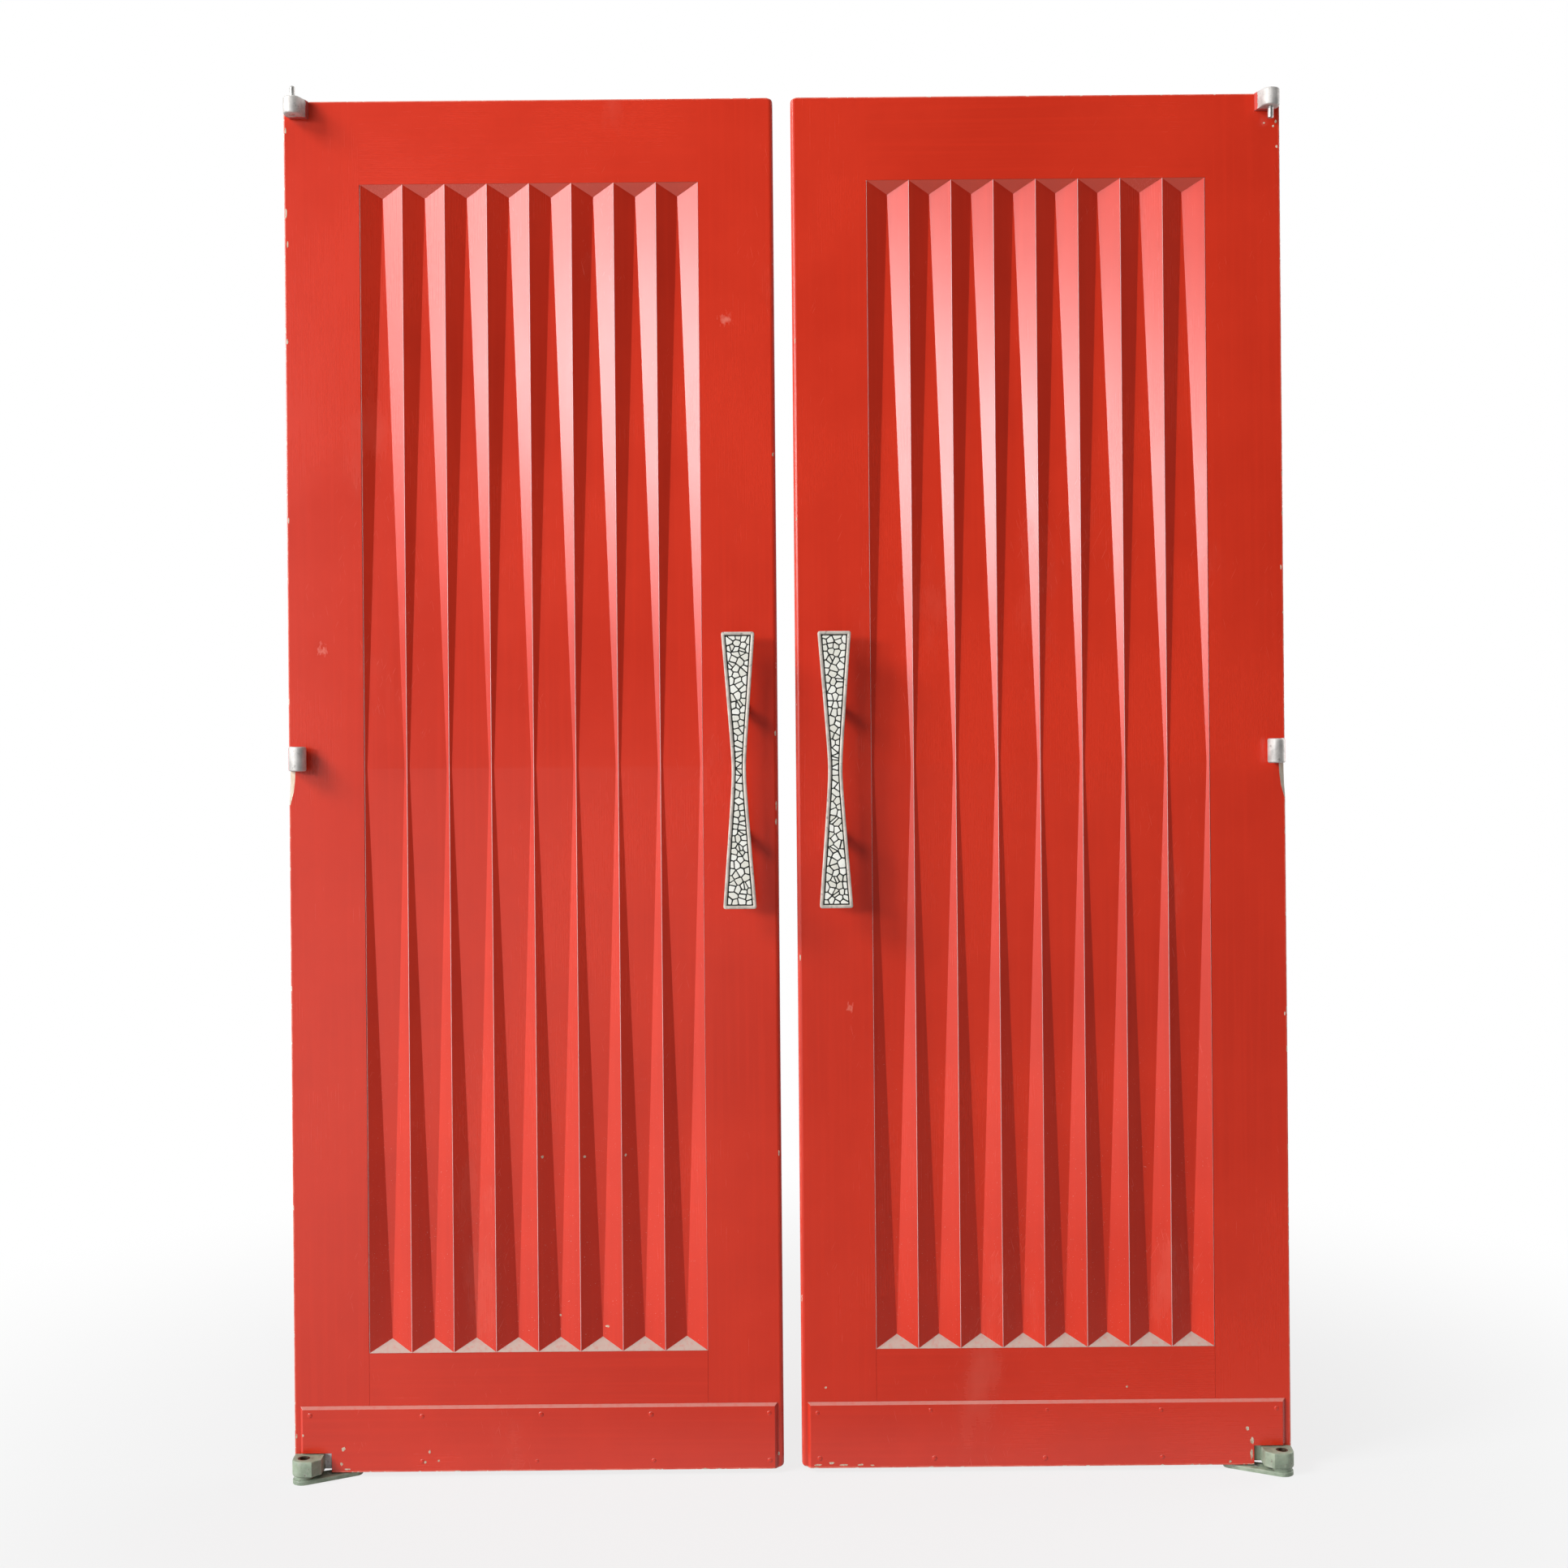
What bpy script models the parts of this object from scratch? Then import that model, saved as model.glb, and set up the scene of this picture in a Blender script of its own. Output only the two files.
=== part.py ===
"""Pair of fluted timber swing doors on offset pivots, with mosaic pulls. Metres, +Z up, fronts face -Y."""

import math
import random

import bmesh
import bpy

# Working gap left between two pieces that touch.
FIT = 0.0003
ROUND_SEGMENTS = 24
EDGE_STEPS = 3
TRAY_SIDE_STEPS = 10
SMOOTH_ANGLE = math.radians(35)

# Leaves: a stile and rail frame round a fluted panel.
LEAF_WIDTH = 0.762
LEAF_HEIGHT = 2.134
LEAF_THICKNESS = 0.0445
MEETING_GAP = 0.028
FLOOR_GAP = 0.008
STILE_WIDTH = 0.117
TOP_RAIL_HEIGHT = 0.130
BOTTOM_RAIL_HEIGHT = 0.183
MEETING_EDGE_ROUND = 0.006
TENON_LENGTH = 0.050
TENON_THICKNESS = 0.013
TENON_SHOULDER = 0.025

# Fluted staves: V grooves that are deep at both ends and run out to a thin wall half way up.
FLUTE_COUNT = 8
FLUTE_DEPTH = 0.0143
FLUTE_END_RUN = 0.0185
FLUTE_WAIST_WALL = 0.004
STAVE_THICKNESS = 0.024
BACK_PANEL_THICKNESS = 0.012
GROOVE_DEPTH = 0.010

# Kick boards.
KICK_HEIGHT = 0.1016
KICK_THICKNESS = 0.005
KICK_BEVEL = 0.0042
KICK_INSET = 0.0095
KICK_NOTCH_GAP = 0.0015

# Pivot line, from the hinge edge of the leaf and in front of its face.
AXIS_INSET = 0.019
AXIS_OFFSET = 0.019

# Tails and plates of the top and bottom pivot arms, let into the hinge stile.
TAIL_DEPTH = 0.032
TAIL_OUTER_REACH = 0.009
ARM_PLATE_REACH = 0.086
ARM_PLATE_INSET = 0.008
ARM_PLATE_THICKNESS = 0.006
ARM_PLATE_SETBACK = 0.0005

# Top pivots.
TOP_KNUCKLE_RADIUS = 0.014
TOP_KNUCKLE_HEIGHT = 0.027
TOP_TAIL_REACH = 0.020
PIN_RADIUS = 0.00425
PIN_TRAVEL = 0.018
PIN_TIP_RADIUS = 0.0025
PIN_TIP_HEIGHT = 0.003

# Middle pivots.
MID_CENTRE_HEIGHT = 1.110
MID_KNUCKLE_RADIUS = 0.0127
MID_KNUCKLE_HEIGHT = 0.038
MID_BUSH_RADIUS = 0.008
MID_BUSH_BORE = 0.005
MID_PLATE_THICKNESS = 0.004
MID_PLATE_DEPTH = 0.036
MID_WEB_WIDTH = 0.016
MID_WEB_SEAT = 0.003
RELIEF_WIDTH = 0.010
RELIEF_FOOT_WIDTH = 0.003
RELIEF_DROP = 0.046

# Bottom pivots.
BOTTOM_LIFT = 0.004
BOTTOM_HEIGHT = 0.024
BOTTOM_NOSE_RADIUS = 0.0175
BOTTOM_INNER_REACH = 0.028
BOTTOM_CHAMFER = 0.012
BOTTOM_TAIL_REACH = 0.038
BOTTOM_TAIL_SETBACK = 0.0006
BOTTOM_BUSH_RADIUS = 0.009

# Floor plates and the spindles that stand in them.
SPINDLE_RADIUS = 0.006
SPINDLE_RISE = 0.018
SPINDLE_CHAMFER = 0.001
FLOOR_PLATE_THICKNESS = 0.0063
FLOOR_NOSE_RADIUS = 0.017
FLOOR_TAIL_RADIUS = 0.012
FLOOR_TAIL_REACH = 0.072
FLOOR_TAIL_SETBACK = 0.012
FLOOR_BOSS_RADIUS = 0.015
FLOOR_SCREW_RADIUS = 0.0026
FLOOR_SCREW_SHARES = (0.5, 0.9)

# Pulls: a tray that narrows to a waist, set off from the face on two posts.
PULL_INSET = 0.060
PULL_CENTRE_HEIGHT = 1.087
PULL_HEIGHT = 0.425
PULL_END_WIDTH = 0.0515
PULL_WAIST_WIDTH = 0.022
PULL_WAIST_SOFTNESS = 0.025
PULL_CORNER_RADIUS = 0.006
PULL_STANDOFF = 0.036
TRAY_THICKNESS = 0.012
TRAY_RIM = 0.005
TRAY_RECESS = 0.0035
TRAY_EDGE_ROUND = 0.0012
POST_SPACING = 0.196
POST_RADIUS = 0.008
POST_FLANGE_RADIUS = 0.013
POST_FLANGE_THICKNESS = 0.003
BOLT_RADIUS = 0.004
BOLT_GRIP = 0.018
BOLT_HEAD_RADIUS = 0.009
BOLT_HEAD_HEIGHT = 0.004
BOLT_HEAD_ROUND = 0.0015

# Mosaic: stone chips standing a little above a bed of grout.
BED_THICKNESS = 0.0013
CHIP_RELIEF = 0.0012
CHIP_SIZE = 0.009
CHIP_SCATTER = 0.0026
CHIP_CORNER_MERGE = 0.0014
CHIP_LEAST_SPAN = 0.003
GROUT_GAP = 0.0022

# The face of the leaves is placed so that the object is centred front to back.
FRONT_REACH = PULL_STANDOFF + TRAY_THICKNESS
BACK_REACH = LEAF_THICKNESS + FIT + BOLT_HEAD_HEIGHT
FACE_Y = (FRONT_REACH - BACK_REACH) / 2
AXIS_X = MEETING_GAP / 2 + LEAF_WIDTH - AXIS_INSET
OVERRUN = 0.002

COLOURS = {
    "red_paint": ((0.62, 0.045, 0.02), 0.38, 0.0),
    "cast_aluminium": ((0.72, 0.72, 0.70), 0.38, 1.0),
    "grey_green_paint": ((0.30, 0.37, 0.28), 0.5, 0.0),
    "bronze": ((0.50, 0.33, 0.16), 0.4, 1.0),
    "steel": ((0.55, 0.55, 0.54), 0.35, 1.0),
    "mosaic": ((0.80, 0.79, 0.72), 0.45, 0.0),
}


def material(name):
    """The named finish, made the first time it is asked for."""
    made = bpy.data.materials.get(name)
    if made:
        return made
    colour, roughness, metallic = COLOURS[name]
    made = bpy.data.materials.new(name)
    made.use_nodes = True
    shader = made.node_tree.nodes["Principled BSDF"]
    shader.inputs["Base Color"].default_value = (*colour, 1)
    shader.inputs["Roughness"].default_value = roughness
    shader.inputs["Metallic"].default_value = metallic
    return made


class Leaf:
    """One leaf. Points are (u in from the hinge edge, v behind the face, w above the leaf's foot)."""

    def __init__(self, side, inward):
        self.side = side
        self.inward = inward
        self.pivot = bpy.data.objects.new(side + "_leaf_pivot", None)
        self.pivot.location = (-inward * AXIS_X, FACE_Y - AXIS_OFFSET, 0)
        bpy.context.scene.collection.objects.link(self.pivot)

    def point(self, u, v, w):
        """The same point about the foot of the pivot line."""
        return (self.inward * (u - AXIS_INSET), v + AXIS_OFFSET, w + FLOOR_GAP)

    def faced(self, name, points, faces):
        """A solid from its corners and faces."""
        shape = bmesh.new()
        corners = [shape.verts.new(self.point(*point)) for point in points]
        for face in faces:
            shape.faces.new([corners[i] for i in face])
        bmesh.ops.recalc_face_normals(shape, faces=shape.faces)
        mesh = bpy.data.meshes.new(name)
        shape.to_mesh(mesh)
        shape.free()
        made = bpy.data.objects.new(name, mesh)
        bpy.context.scene.collection.objects.link(made)
        return made

    def skinned(self, name, rings, looped=False):
        """A solid from a stack of rings with equal counts, capped unless the stack closes on itself."""
        count = len(rings[0])
        points = [point for ring in rings for point in ring]
        steps = len(rings) if looped else len(rings) - 1
        faces = []
        for step in range(steps):
            low = step * count
            high = (step + 1) % len(rings) * count
            for i in range(count):
                j = (i + 1) % count
                faces.append((low + i, low + j, high + j, high + i))
        if not looped:
            faces.append(tuple(range(count)))
            faces.append(tuple(range(len(points) - count, len(points))))
        return self.faced(name, points, faces)

    def box(self, name, u_span, v_span, w_span):
        u0, u1 = u_span
        v0, v1 = v_span
        ring = ((u0, v0), (u1, v0), (u1, v1), (u0, v1))
        return self.upright(name, ring, w_span)

    def upright(self, name, outline, heights):
        """A plan outline carried straight up."""
        return self.skinned(name, [[(u, v, w) for u, v in outline] for w in heights])

    def turned_on_axis(self, name, profile, looped=False):
        """Radius and height pairs turned about the pivot line."""
        rings = [[(u, v, w) for u, v in circle(AXIS_INSET, -AXIS_OFFSET, r)] for r, w in profile]
        return self.skinned(name, rings, looped)

    def turned_through(self, name, u, w, profile):
        """Radius and depth pairs turned about a line square to the face."""
        return self.skinned(name, [[(a, v, b) for a, b in circle(u, w, r)] for r, v in profile])

    def finish(self, made, finish, moves=True):
        """Name, colour and place a finished piece on the pivot line."""
        made.name = self.side + "_" + made.name
        made.data.name = made.name
        made.data.materials.clear()
        made.data.materials.append(material(finish))
        made.data.shade_smooth()
        made.data.set_sharp_from_angle(angle=SMOOTH_ANGLE)
        if moves:
            made.parent = self.pivot
        else:
            made.location = self.pivot.location


def circle(a, b, radius, first=0.0, last=None, segments=ROUND_SEGMENTS):
    """Points round a circle, or along an arc of it when last is given (degrees)."""
    if last is None:
        angles = [math.tau * i / segments for i in range(segments)]
    else:
        angles = [math.radians(first + (last - first) * i / segments) for i in range(segments + 1)]
    return [(a + radius * math.cos(t), b + radius * math.sin(t)) for t in angles]


def combine(made, other, operation):
    """Cut the other solid from this one, or join it on, and drop the other."""
    modifier = made.modifiers.new("combine", "BOOLEAN")
    modifier.operation = operation
    modifier.solver = "MANIFOLD"
    modifier.object = other
    graph = bpy.context.evaluated_depsgraph_get()
    mesh = bpy.data.meshes.new_from_object(made.evaluated_get(graph))
    made.modifiers.remove(modifier)
    made.data = mesh
    bpy.data.objects.remove(other)


def tangent_angle(centre, radius, point, turn):
    """Direction, in degrees, from a circle's centre to where a line from the point touches it."""
    a = point[0] - centre[0]
    b = point[1] - centre[1]
    away = math.degrees(math.acos(radius / math.hypot(a, b)))
    return math.degrees(math.atan2(b, a)) + turn * away


# Spans shared by pieces that fit each other.
PANEL_LOW = BOTTOM_RAIL_HEIGHT
PANEL_HIGH = LEAF_HEIGHT - TOP_RAIL_HEIGHT
TOP_RAIL_W = (PANEL_HIGH, LEAF_HEIGHT)
BOTTOM_RAIL_W = (0.0, PANEL_LOW)
TOP_TENON_W = (PANEL_HIGH + TENON_SHOULDER, LEAF_HEIGHT - TENON_SHOULDER)
BOTTOM_TENON_W = (TENON_SHOULDER, PANEL_LOW - TENON_SHOULDER)
TENON_V = ((LEAF_THICKNESS - TENON_THICKNESS) / 2, (LEAF_THICKNESS + TENON_THICKNESS) / 2)
GROOVE_V = (STAVE_THICKNESS, STAVE_THICKNESS + BACK_PANEL_THICKNESS + 2 * FIT)
GROOVE_W = (PANEL_LOW - GROOVE_DEPTH, PANEL_HIGH + GROOVE_DEPTH)
MEETING_STILE_U = LEAF_WIDTH - STILE_WIDTH
RAIL_U = (STILE_WIDTH + FIT, MEETING_STILE_U - FIT)
STAVE_WIDTH = (MEETING_STILE_U - STILE_WIDTH - (FLUTE_COUNT + 1) * FIT) / FLUTE_COUNT
AXIS_POINT = (AXIS_INSET, -AXIS_OFFSET)
TOP_ARM_W = (LEAF_HEIGHT - TOP_KNUCKLE_HEIGHT, LEAF_HEIGHT)
MID_W = (MID_CENTRE_HEIGHT - MID_KNUCKLE_HEIGHT / 2, MID_CENTRE_HEIGHT + MID_KNUCKLE_HEIGHT / 2)
BOTTOM_ARM_W = (BOTTOM_LIFT, BOTTOM_LIFT + BOTTOM_HEIGHT)
TAIL_OUTER_U = AXIS_INSET - TAIL_OUTER_REACH
TOP_TAIL_U = AXIS_INSET + TOP_TAIL_REACH
BOTTOM_TAIL_U = AXIS_INSET + BOTTOM_TAIL_REACH
ARM_PLATE_U = AXIS_INSET + ARM_PLATE_REACH
ARM_PLATE_V = (ARM_PLATE_INSET, TAIL_DEPTH - ARM_PLATE_INSET / 2)
TOP_PLATE_W = (LEAF_HEIGHT - ARM_PLATE_SETBACK - ARM_PLATE_THICKNESS, LEAF_HEIGHT - ARM_PLATE_SETBACK)
BOTTOM_PLATE_W = (BOTTOM_LIFT + ARM_PLATE_SETBACK, BOTTOM_LIFT + ARM_PLATE_SETBACK + ARM_PLATE_THICKNESS)
PULL_U = LEAF_WIDTH - PULL_INSET
POST_HEIGHTS = {
    "upper": PULL_CENTRE_HEIGHT + POST_SPACING / 2,
    "lower": PULL_CENTRE_HEIGHT - POST_SPACING / 2,
}
TRAY_FRONT_V = -FRONT_REACH


def wider(span, by):
    return (span[0] - by, span[1] + by)


def cut_frame_joints(leaf, stile, tenon_end_u, mouth_u, groove_end_u):
    """Sockets for the tenons of both rails, and the groove for the back panel."""
    for tenon_w in (TOP_TENON_W, BOTTOM_TENON_W):
        socket = leaf.box("cut", sorted((tenon_end_u, mouth_u)), wider(TENON_V, FIT), wider(tenon_w, FIT))
        combine(stile, socket, "DIFFERENCE")
    groove = leaf.box("cut", sorted((groove_end_u, mouth_u)), GROOVE_V, GROOVE_W)
    combine(stile, groove, "DIFFERENCE")


def hinge_stile(leaf):
    stile = leaf.box("hinge_stile", (0, STILE_WIDTH), (0, LEAF_THICKNESS), (0, LEAF_HEIGHT))
    mouth_u = STILE_WIDTH + OVERRUN
    cut_frame_joints(leaf, stile, STILE_WIDTH - TENON_LENGTH - FIT, mouth_u, STILE_WIDTH - GROOVE_DEPTH)
    tail_v = (-OVERRUN, TAIL_DEPTH + FIT)
    plate_v = wider(ARM_PLATE_V, FIT)
    above = LEAF_HEIGHT + OVERRUN
    pockets = (
        ((TAIL_OUTER_U - FIT, TOP_TAIL_U + FIT), tail_v, (TOP_ARM_W[0] - FIT, above)),
        ((TOP_TAIL_U, ARM_PLATE_U + FIT), plate_v, (TOP_PLATE_W[0] - FIT, above)),
        ((TAIL_OUTER_U - FIT, BOTTOM_TAIL_U + FIT), tail_v, (-OVERRUN, BOTTOM_ARM_W[1] + FIT)),
        ((BOTTOM_TAIL_U, ARM_PLATE_U + FIT), plate_v, (-OVERRUN, BOTTOM_PLATE_W[1] + FIT)),
        ((-OVERRUN, MID_PLATE_THICKNESS + 2 * FIT), (-OVERRUN, MID_PLATE_DEPTH + FIT), wider(MID_W, FIT)),
        ((-OVERRUN, MID_WEB_WIDTH + FIT), (-OVERRUN, MID_WEB_SEAT + FIT), wider(MID_W, FIT)),
    )
    for u_span, v_span, w_span in pockets:
        combine(stile, leaf.box("cut", u_span, v_span, w_span), "DIFFERENCE")
    # Tapered relief on the front arris, under the middle knuckle.
    rings = []
    for width, w in ((RELIEF_WIDTH, MID_W[0]), (RELIEF_FOOT_WIDTH, MID_W[0] - RELIEF_DROP)):
        reach = width + OVERRUN
        rings.append(((-OVERRUN, -OVERRUN, w), (reach, -OVERRUN, w), (-OVERRUN, reach, w)))
    combine(stile, leaf.skinned("cut", rings), "DIFFERENCE")
    return stile


def meeting_stile(leaf):
    """The stile under the pull: its free edge is rounded and both corners are eased."""
    radius = MEETING_EDGE_ROUND
    eased = []
    for step in range(EDGE_STEPS + 1):
        turn = math.pi / 2 * step / EDGE_STEPS
        eased.append((radius * (1 - math.sin(turn)), radius * (1 - math.cos(turn))))
    levels = eased + [(drop, LEAF_HEIGHT - rise) for drop, rise in reversed(eased)]
    rings = []
    for drop, w in levels:
        edge_u = LEAF_WIDTH - drop
        outline = [(MEETING_STILE_U, 0)]
        outline += circle(edge_u - radius, radius, radius, -90, 0, EDGE_STEPS)
        outline += circle(edge_u - radius, LEAF_THICKNESS - radius, radius, 0, 90, EDGE_STEPS)
        outline.append((MEETING_STILE_U, LEAF_THICKNESS))
        rings.append([(u, v, w) for u, v in outline])
    stile = leaf.skinned("meeting_stile", rings)
    tenon_end_u = MEETING_STILE_U + TENON_LENGTH + FIT
    mouth_u = MEETING_STILE_U - OVERRUN
    cut_frame_joints(leaf, stile, tenon_end_u, mouth_u, MEETING_STILE_U + GROOVE_DEPTH)
    for w in POST_HEIGHTS.values():
        ends = (-OVERRUN, LEAF_THICKNESS + OVERRUN)
        hole = leaf.turned_through("cut", PULL_U, w, [(BOLT_RADIUS + FIT, v) for v in ends])
        combine(stile, hole, "DIFFERENCE")
    return stile


def rail(leaf, name, rail_w, tenon_w, groove_w):
    made = leaf.box(name, RAIL_U, (0, LEAF_THICKNESS), rail_w)
    tenons = leaf.box("tenons", wider(RAIL_U, TENON_LENGTH - FIT), TENON_V, tenon_w)
    combine(made, tenons, "UNION")
    combine(made, leaf.box("cut", wider(RAIL_U, OVERRUN), GROOVE_V, groove_w), "DIFFERENCE")
    return made


def flute_stave(leaf, number):
    """One stave with one V flute; each wall is a plane that starts at the stave's edge."""
    u0 = STILE_WIDTH + FIT + (number - 1) * (STAVE_WIDTH + FIT)
    u1 = u0 + STAVE_WIDTH
    centre = (u0 + u1) / 2
    low = PANEL_LOW + FIT
    high = PANEL_HIGH - FIT
    middle = (low + high) / 2
    waist_depth = FLUTE_DEPTH * FLUTE_WAIST_WALL / (STAVE_WIDTH / 2)
    points = (
        (u0, 0, low), (u1, 0, low), (u1, 0, high), (u0, 0, high),
        (u0, STAVE_THICKNESS, low), (u1, STAVE_THICKNESS, low),
        (u1, STAVE_THICKNESS, high), (u0, STAVE_THICKNESS, high),
        (centre, FLUTE_DEPTH, low + FLUTE_END_RUN), (centre, FLUTE_DEPTH, high - FLUTE_END_RUN),
        (u0 + FLUTE_WAIST_WALL, waist_depth, middle), (u1 - FLUTE_WAIST_WALL, waist_depth, middle),
    )
    carved = ((0, 1, 8), (2, 3, 9), (0, 8, 10, 9, 3), (1, 8, 11, 9, 2), (8, 11, 10), (9, 10, 11))
    plain = ((0, 1, 5, 4), (1, 2, 6, 5), (2, 3, 7, 6), (3, 0, 4, 7), (4, 5, 6, 7))
    return leaf.faced("flute_stave_" + str(number), points, carved + plain)


def back_panel(leaf):
    hidden = GROOVE_DEPTH - FIT
    u_span = (STILE_WIDTH - hidden, MEETING_STILE_U + hidden)
    w_span = (PANEL_LOW - hidden, PANEL_HIGH + hidden)
    return leaf.box("back_panel", u_span, wider(GROOVE_V, -FIT), w_span)


def kick_board(leaf):
    """A strip with its top and both ends bevelled, notched round the bottom pivot."""
    back_v = -FIT
    arris_v = back_v - KICK_THICKNESS + KICK_BEVEL
    front_v = back_v - KICK_THICKNESS
    notch_u = BOTTOM_TAIL_U + KICK_NOTCH_GAP
    notch_w = BOTTOM_ARM_W[1] + KICK_NOTCH_GAP
    rings = []
    for v, inset in ((back_v, 0), (arris_v, 0), (front_v, KICK_BEVEL)):
        u0 = KICK_INSET + inset
        u1 = LEAF_WIDTH - KICK_INSET - inset
        top_w = KICK_HEIGHT - inset
        outline = ((notch_u, 0), (u1, 0), (u1, top_w), (u0, top_w), (u0, notch_w), (notch_u, notch_w))
        rings.append([(u, v, w) for u, w in outline])
    return leaf.skinned("kick_board", rings)


def top_pivot_arm(leaf):
    """Knuckle and tail in one casting, with a plate along the top edge of the leaf."""
    shoulder = (TOP_TAIL_U, 0)
    last = tangent_angle(AXIS_POINT, TOP_KNUCKLE_RADIUS, shoulder, -1) + 360
    outline = [(TAIL_OUTER_U, TAIL_DEPTH), (TAIL_OUTER_U, 0)]
    outline += circle(*AXIS_POINT, TOP_KNUCKLE_RADIUS, 180, last, ROUND_SEGMENTS // 2)
    outline += [shoulder, (TOP_TAIL_U, TAIL_DEPTH)]
    arm = leaf.upright("top_pivot_arm", outline, TOP_ARM_W)
    plate = leaf.box("plate", (TOP_TAIL_U - OVERRUN, ARM_PLATE_U), ARM_PLATE_V, TOP_PLATE_W)
    combine(arm, plate, "UNION")
    combine(arm, leaf.turned_on_axis("cut", bore(PIN_RADIUS + FIT, TOP_ARM_W)), "DIFFERENCE")
    return arm


def top_pivot_pin(leaf, lift):
    """The pin that goes up into the head; at no lift its tip is level with the leaf."""
    tip = LEAF_HEIGHT + lift
    foot = tip - TOP_KNUCKLE_HEIGHT - PIN_TRAVEL
    profile = ((PIN_RADIUS, foot), (PIN_RADIUS, tip - PIN_TIP_HEIGHT), (PIN_TIP_RADIUS, tip))
    return leaf.turned_on_axis("top_pivot_pin", profile)


def mid_pivot(leaf):
    """Knuckle, web and edge plate in one casting."""
    outer = (FIT, -MID_WEB_SEAT)
    inner = (MID_WEB_WIDTH, 0)
    first = tangent_angle(AXIS_POINT, MID_KNUCKLE_RADIUS, outer, 1)
    last = tangent_angle(AXIS_POINT, MID_KNUCKLE_RADIUS, inner, -1) + 360
    plate_u = FIT + MID_PLATE_THICKNESS
    outline = [(FIT, MID_PLATE_DEPTH), outer]
    outline += circle(*AXIS_POINT, MID_KNUCKLE_RADIUS, first, last)
    outline += [inner, (MID_WEB_WIDTH, MID_WEB_SEAT), (plate_u, MID_WEB_SEAT), (plate_u, MID_PLATE_DEPTH)]
    made = leaf.upright("mid_pivot", outline, MID_W)
    combine(made, leaf.turned_on_axis("cut", bore(MID_BUSH_RADIUS + FIT, MID_W)), "DIFFERENCE")
    return made


def bottom_pivot_arm(leaf):
    """A block with a rounded nose round the pivot line, a chamfered end and a tail in the leaf."""
    nose = BOTTOM_NOSE_RADIUS
    front_v = -AXIS_OFFSET - nose
    end_u = AXIS_INSET + BOTTOM_INNER_REACH
    outline = [(TAIL_OUTER_U, TAIL_DEPTH), (TAIL_OUTER_U, -FIT), (AXIS_INSET - nose, -FIT)]
    outline += circle(*AXIS_POINT, nose, 180, 270, ROUND_SEGMENTS // 3)
    outline += [(end_u - BOTTOM_CHAMFER, front_v), (end_u, front_v + BOTTOM_CHAMFER), (end_u, -FIT)]
    outline += [(end_u, BOTTOM_TAIL_SETBACK), (BOTTOM_TAIL_U, BOTTOM_TAIL_SETBACK)]
    outline.append((BOTTOM_TAIL_U, TAIL_DEPTH))
    arm = leaf.upright("bottom_pivot_arm", outline, BOTTOM_ARM_W)
    plate = leaf.box("plate", (BOTTOM_TAIL_U - OVERRUN, ARM_PLATE_U), ARM_PLATE_V, BOTTOM_PLATE_W)
    combine(arm, plate, "UNION")
    combine(arm, leaf.turned_on_axis("cut", bore(BOTTOM_BUSH_RADIUS + FIT, BOTTOM_ARM_W)), "DIFFERENCE")
    return arm


def bore(radius, span):
    return [(radius, w) for w in wider(span, OVERRUN)]


def bush(leaf, name, outer, inner, span):
    """A plain sleeve, as long as the knuckle it sits in."""
    low, high = span
    profile = ((outer, low), (outer, high), (inner, high), (inner, low))
    return leaf.turned_on_axis(name, profile, looped=True)


def floor_plate(leaf):
    """A teardrop plate on the floor with a boss under the bottom pivot."""
    tail = (AXIS_INSET + FLOOR_TAIL_REACH, FLOOR_TAIL_SETBACK)
    run = (tail[0] - AXIS_POINT[0], tail[1] - AXIS_POINT[1])
    heading = math.degrees(math.atan2(run[1], run[0]))
    spread = math.degrees(math.acos((FLOOR_NOSE_RADIUS - FLOOR_TAIL_RADIUS) / math.hypot(*run)))
    half = ROUND_SEGMENTS // 2
    outline = circle(*AXIS_POINT, FLOOR_NOSE_RADIUS, heading + spread, heading + 360 - spread, half)
    outline += circle(*tail, FLOOR_TAIL_RADIUS, heading - spread, heading + spread, half)
    top_w = FLOOR_PLATE_THICKNESS - FLOOR_GAP
    plate = leaf.upright("floor_plate", outline, (-FLOOR_GAP, top_w))
    boss_w = (top_w - FLOOR_PLATE_THICKNESS / 2, BOTTOM_LIFT - FIT)
    combine(plate, leaf.turned_on_axis("boss", [(FLOOR_BOSS_RADIUS, w) for w in boss_w]), "UNION")
    through = (-FLOOR_GAP, BOTTOM_LIFT)
    combine(plate, leaf.turned_on_axis("cut", bore(SPINDLE_RADIUS + FIT, through)), "DIFFERENCE")
    for share in FLOOR_SCREW_SHARES:
        centre = (AXIS_POINT[0] + share * run[0], AXIS_POINT[1] + share * run[1])
        hole = leaf.upright("cut", circle(*centre, FLOOR_SCREW_RADIUS), wider(through, OVERRUN))
        combine(plate, hole, "DIFFERENCE")
    return plate


def floor_spindle(leaf):
    tip = BOTTOM_LIFT + SPINDLE_RISE
    shoulder = tip - SPINDLE_CHAMFER
    foot = FIT - FLOOR_GAP
    tip_radius = SPINDLE_RADIUS - SPINDLE_CHAMFER
    profile = ((SPINDLE_RADIUS, foot), (SPINDLE_RADIUS, shoulder), (tip_radius, tip))
    return leaf.turned_on_axis("floor_spindle", profile)


def half_width(height, inset):
    """Half the width of the tray at a height from its middle, less an inset."""
    bow = math.hypot(height, PULL_WAIST_SOFTNESS) - PULL_WAIST_SOFTNESS
    full_bow = math.hypot(PULL_HEIGHT / 2, PULL_WAIST_SOFTNESS) - PULL_WAIST_SOFTNESS
    flare = (PULL_END_WIDTH - PULL_WAIST_WIDTH) / 2
    return PULL_WAIST_WIDTH / 2 + flare * bow / full_bow - inset


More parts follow.
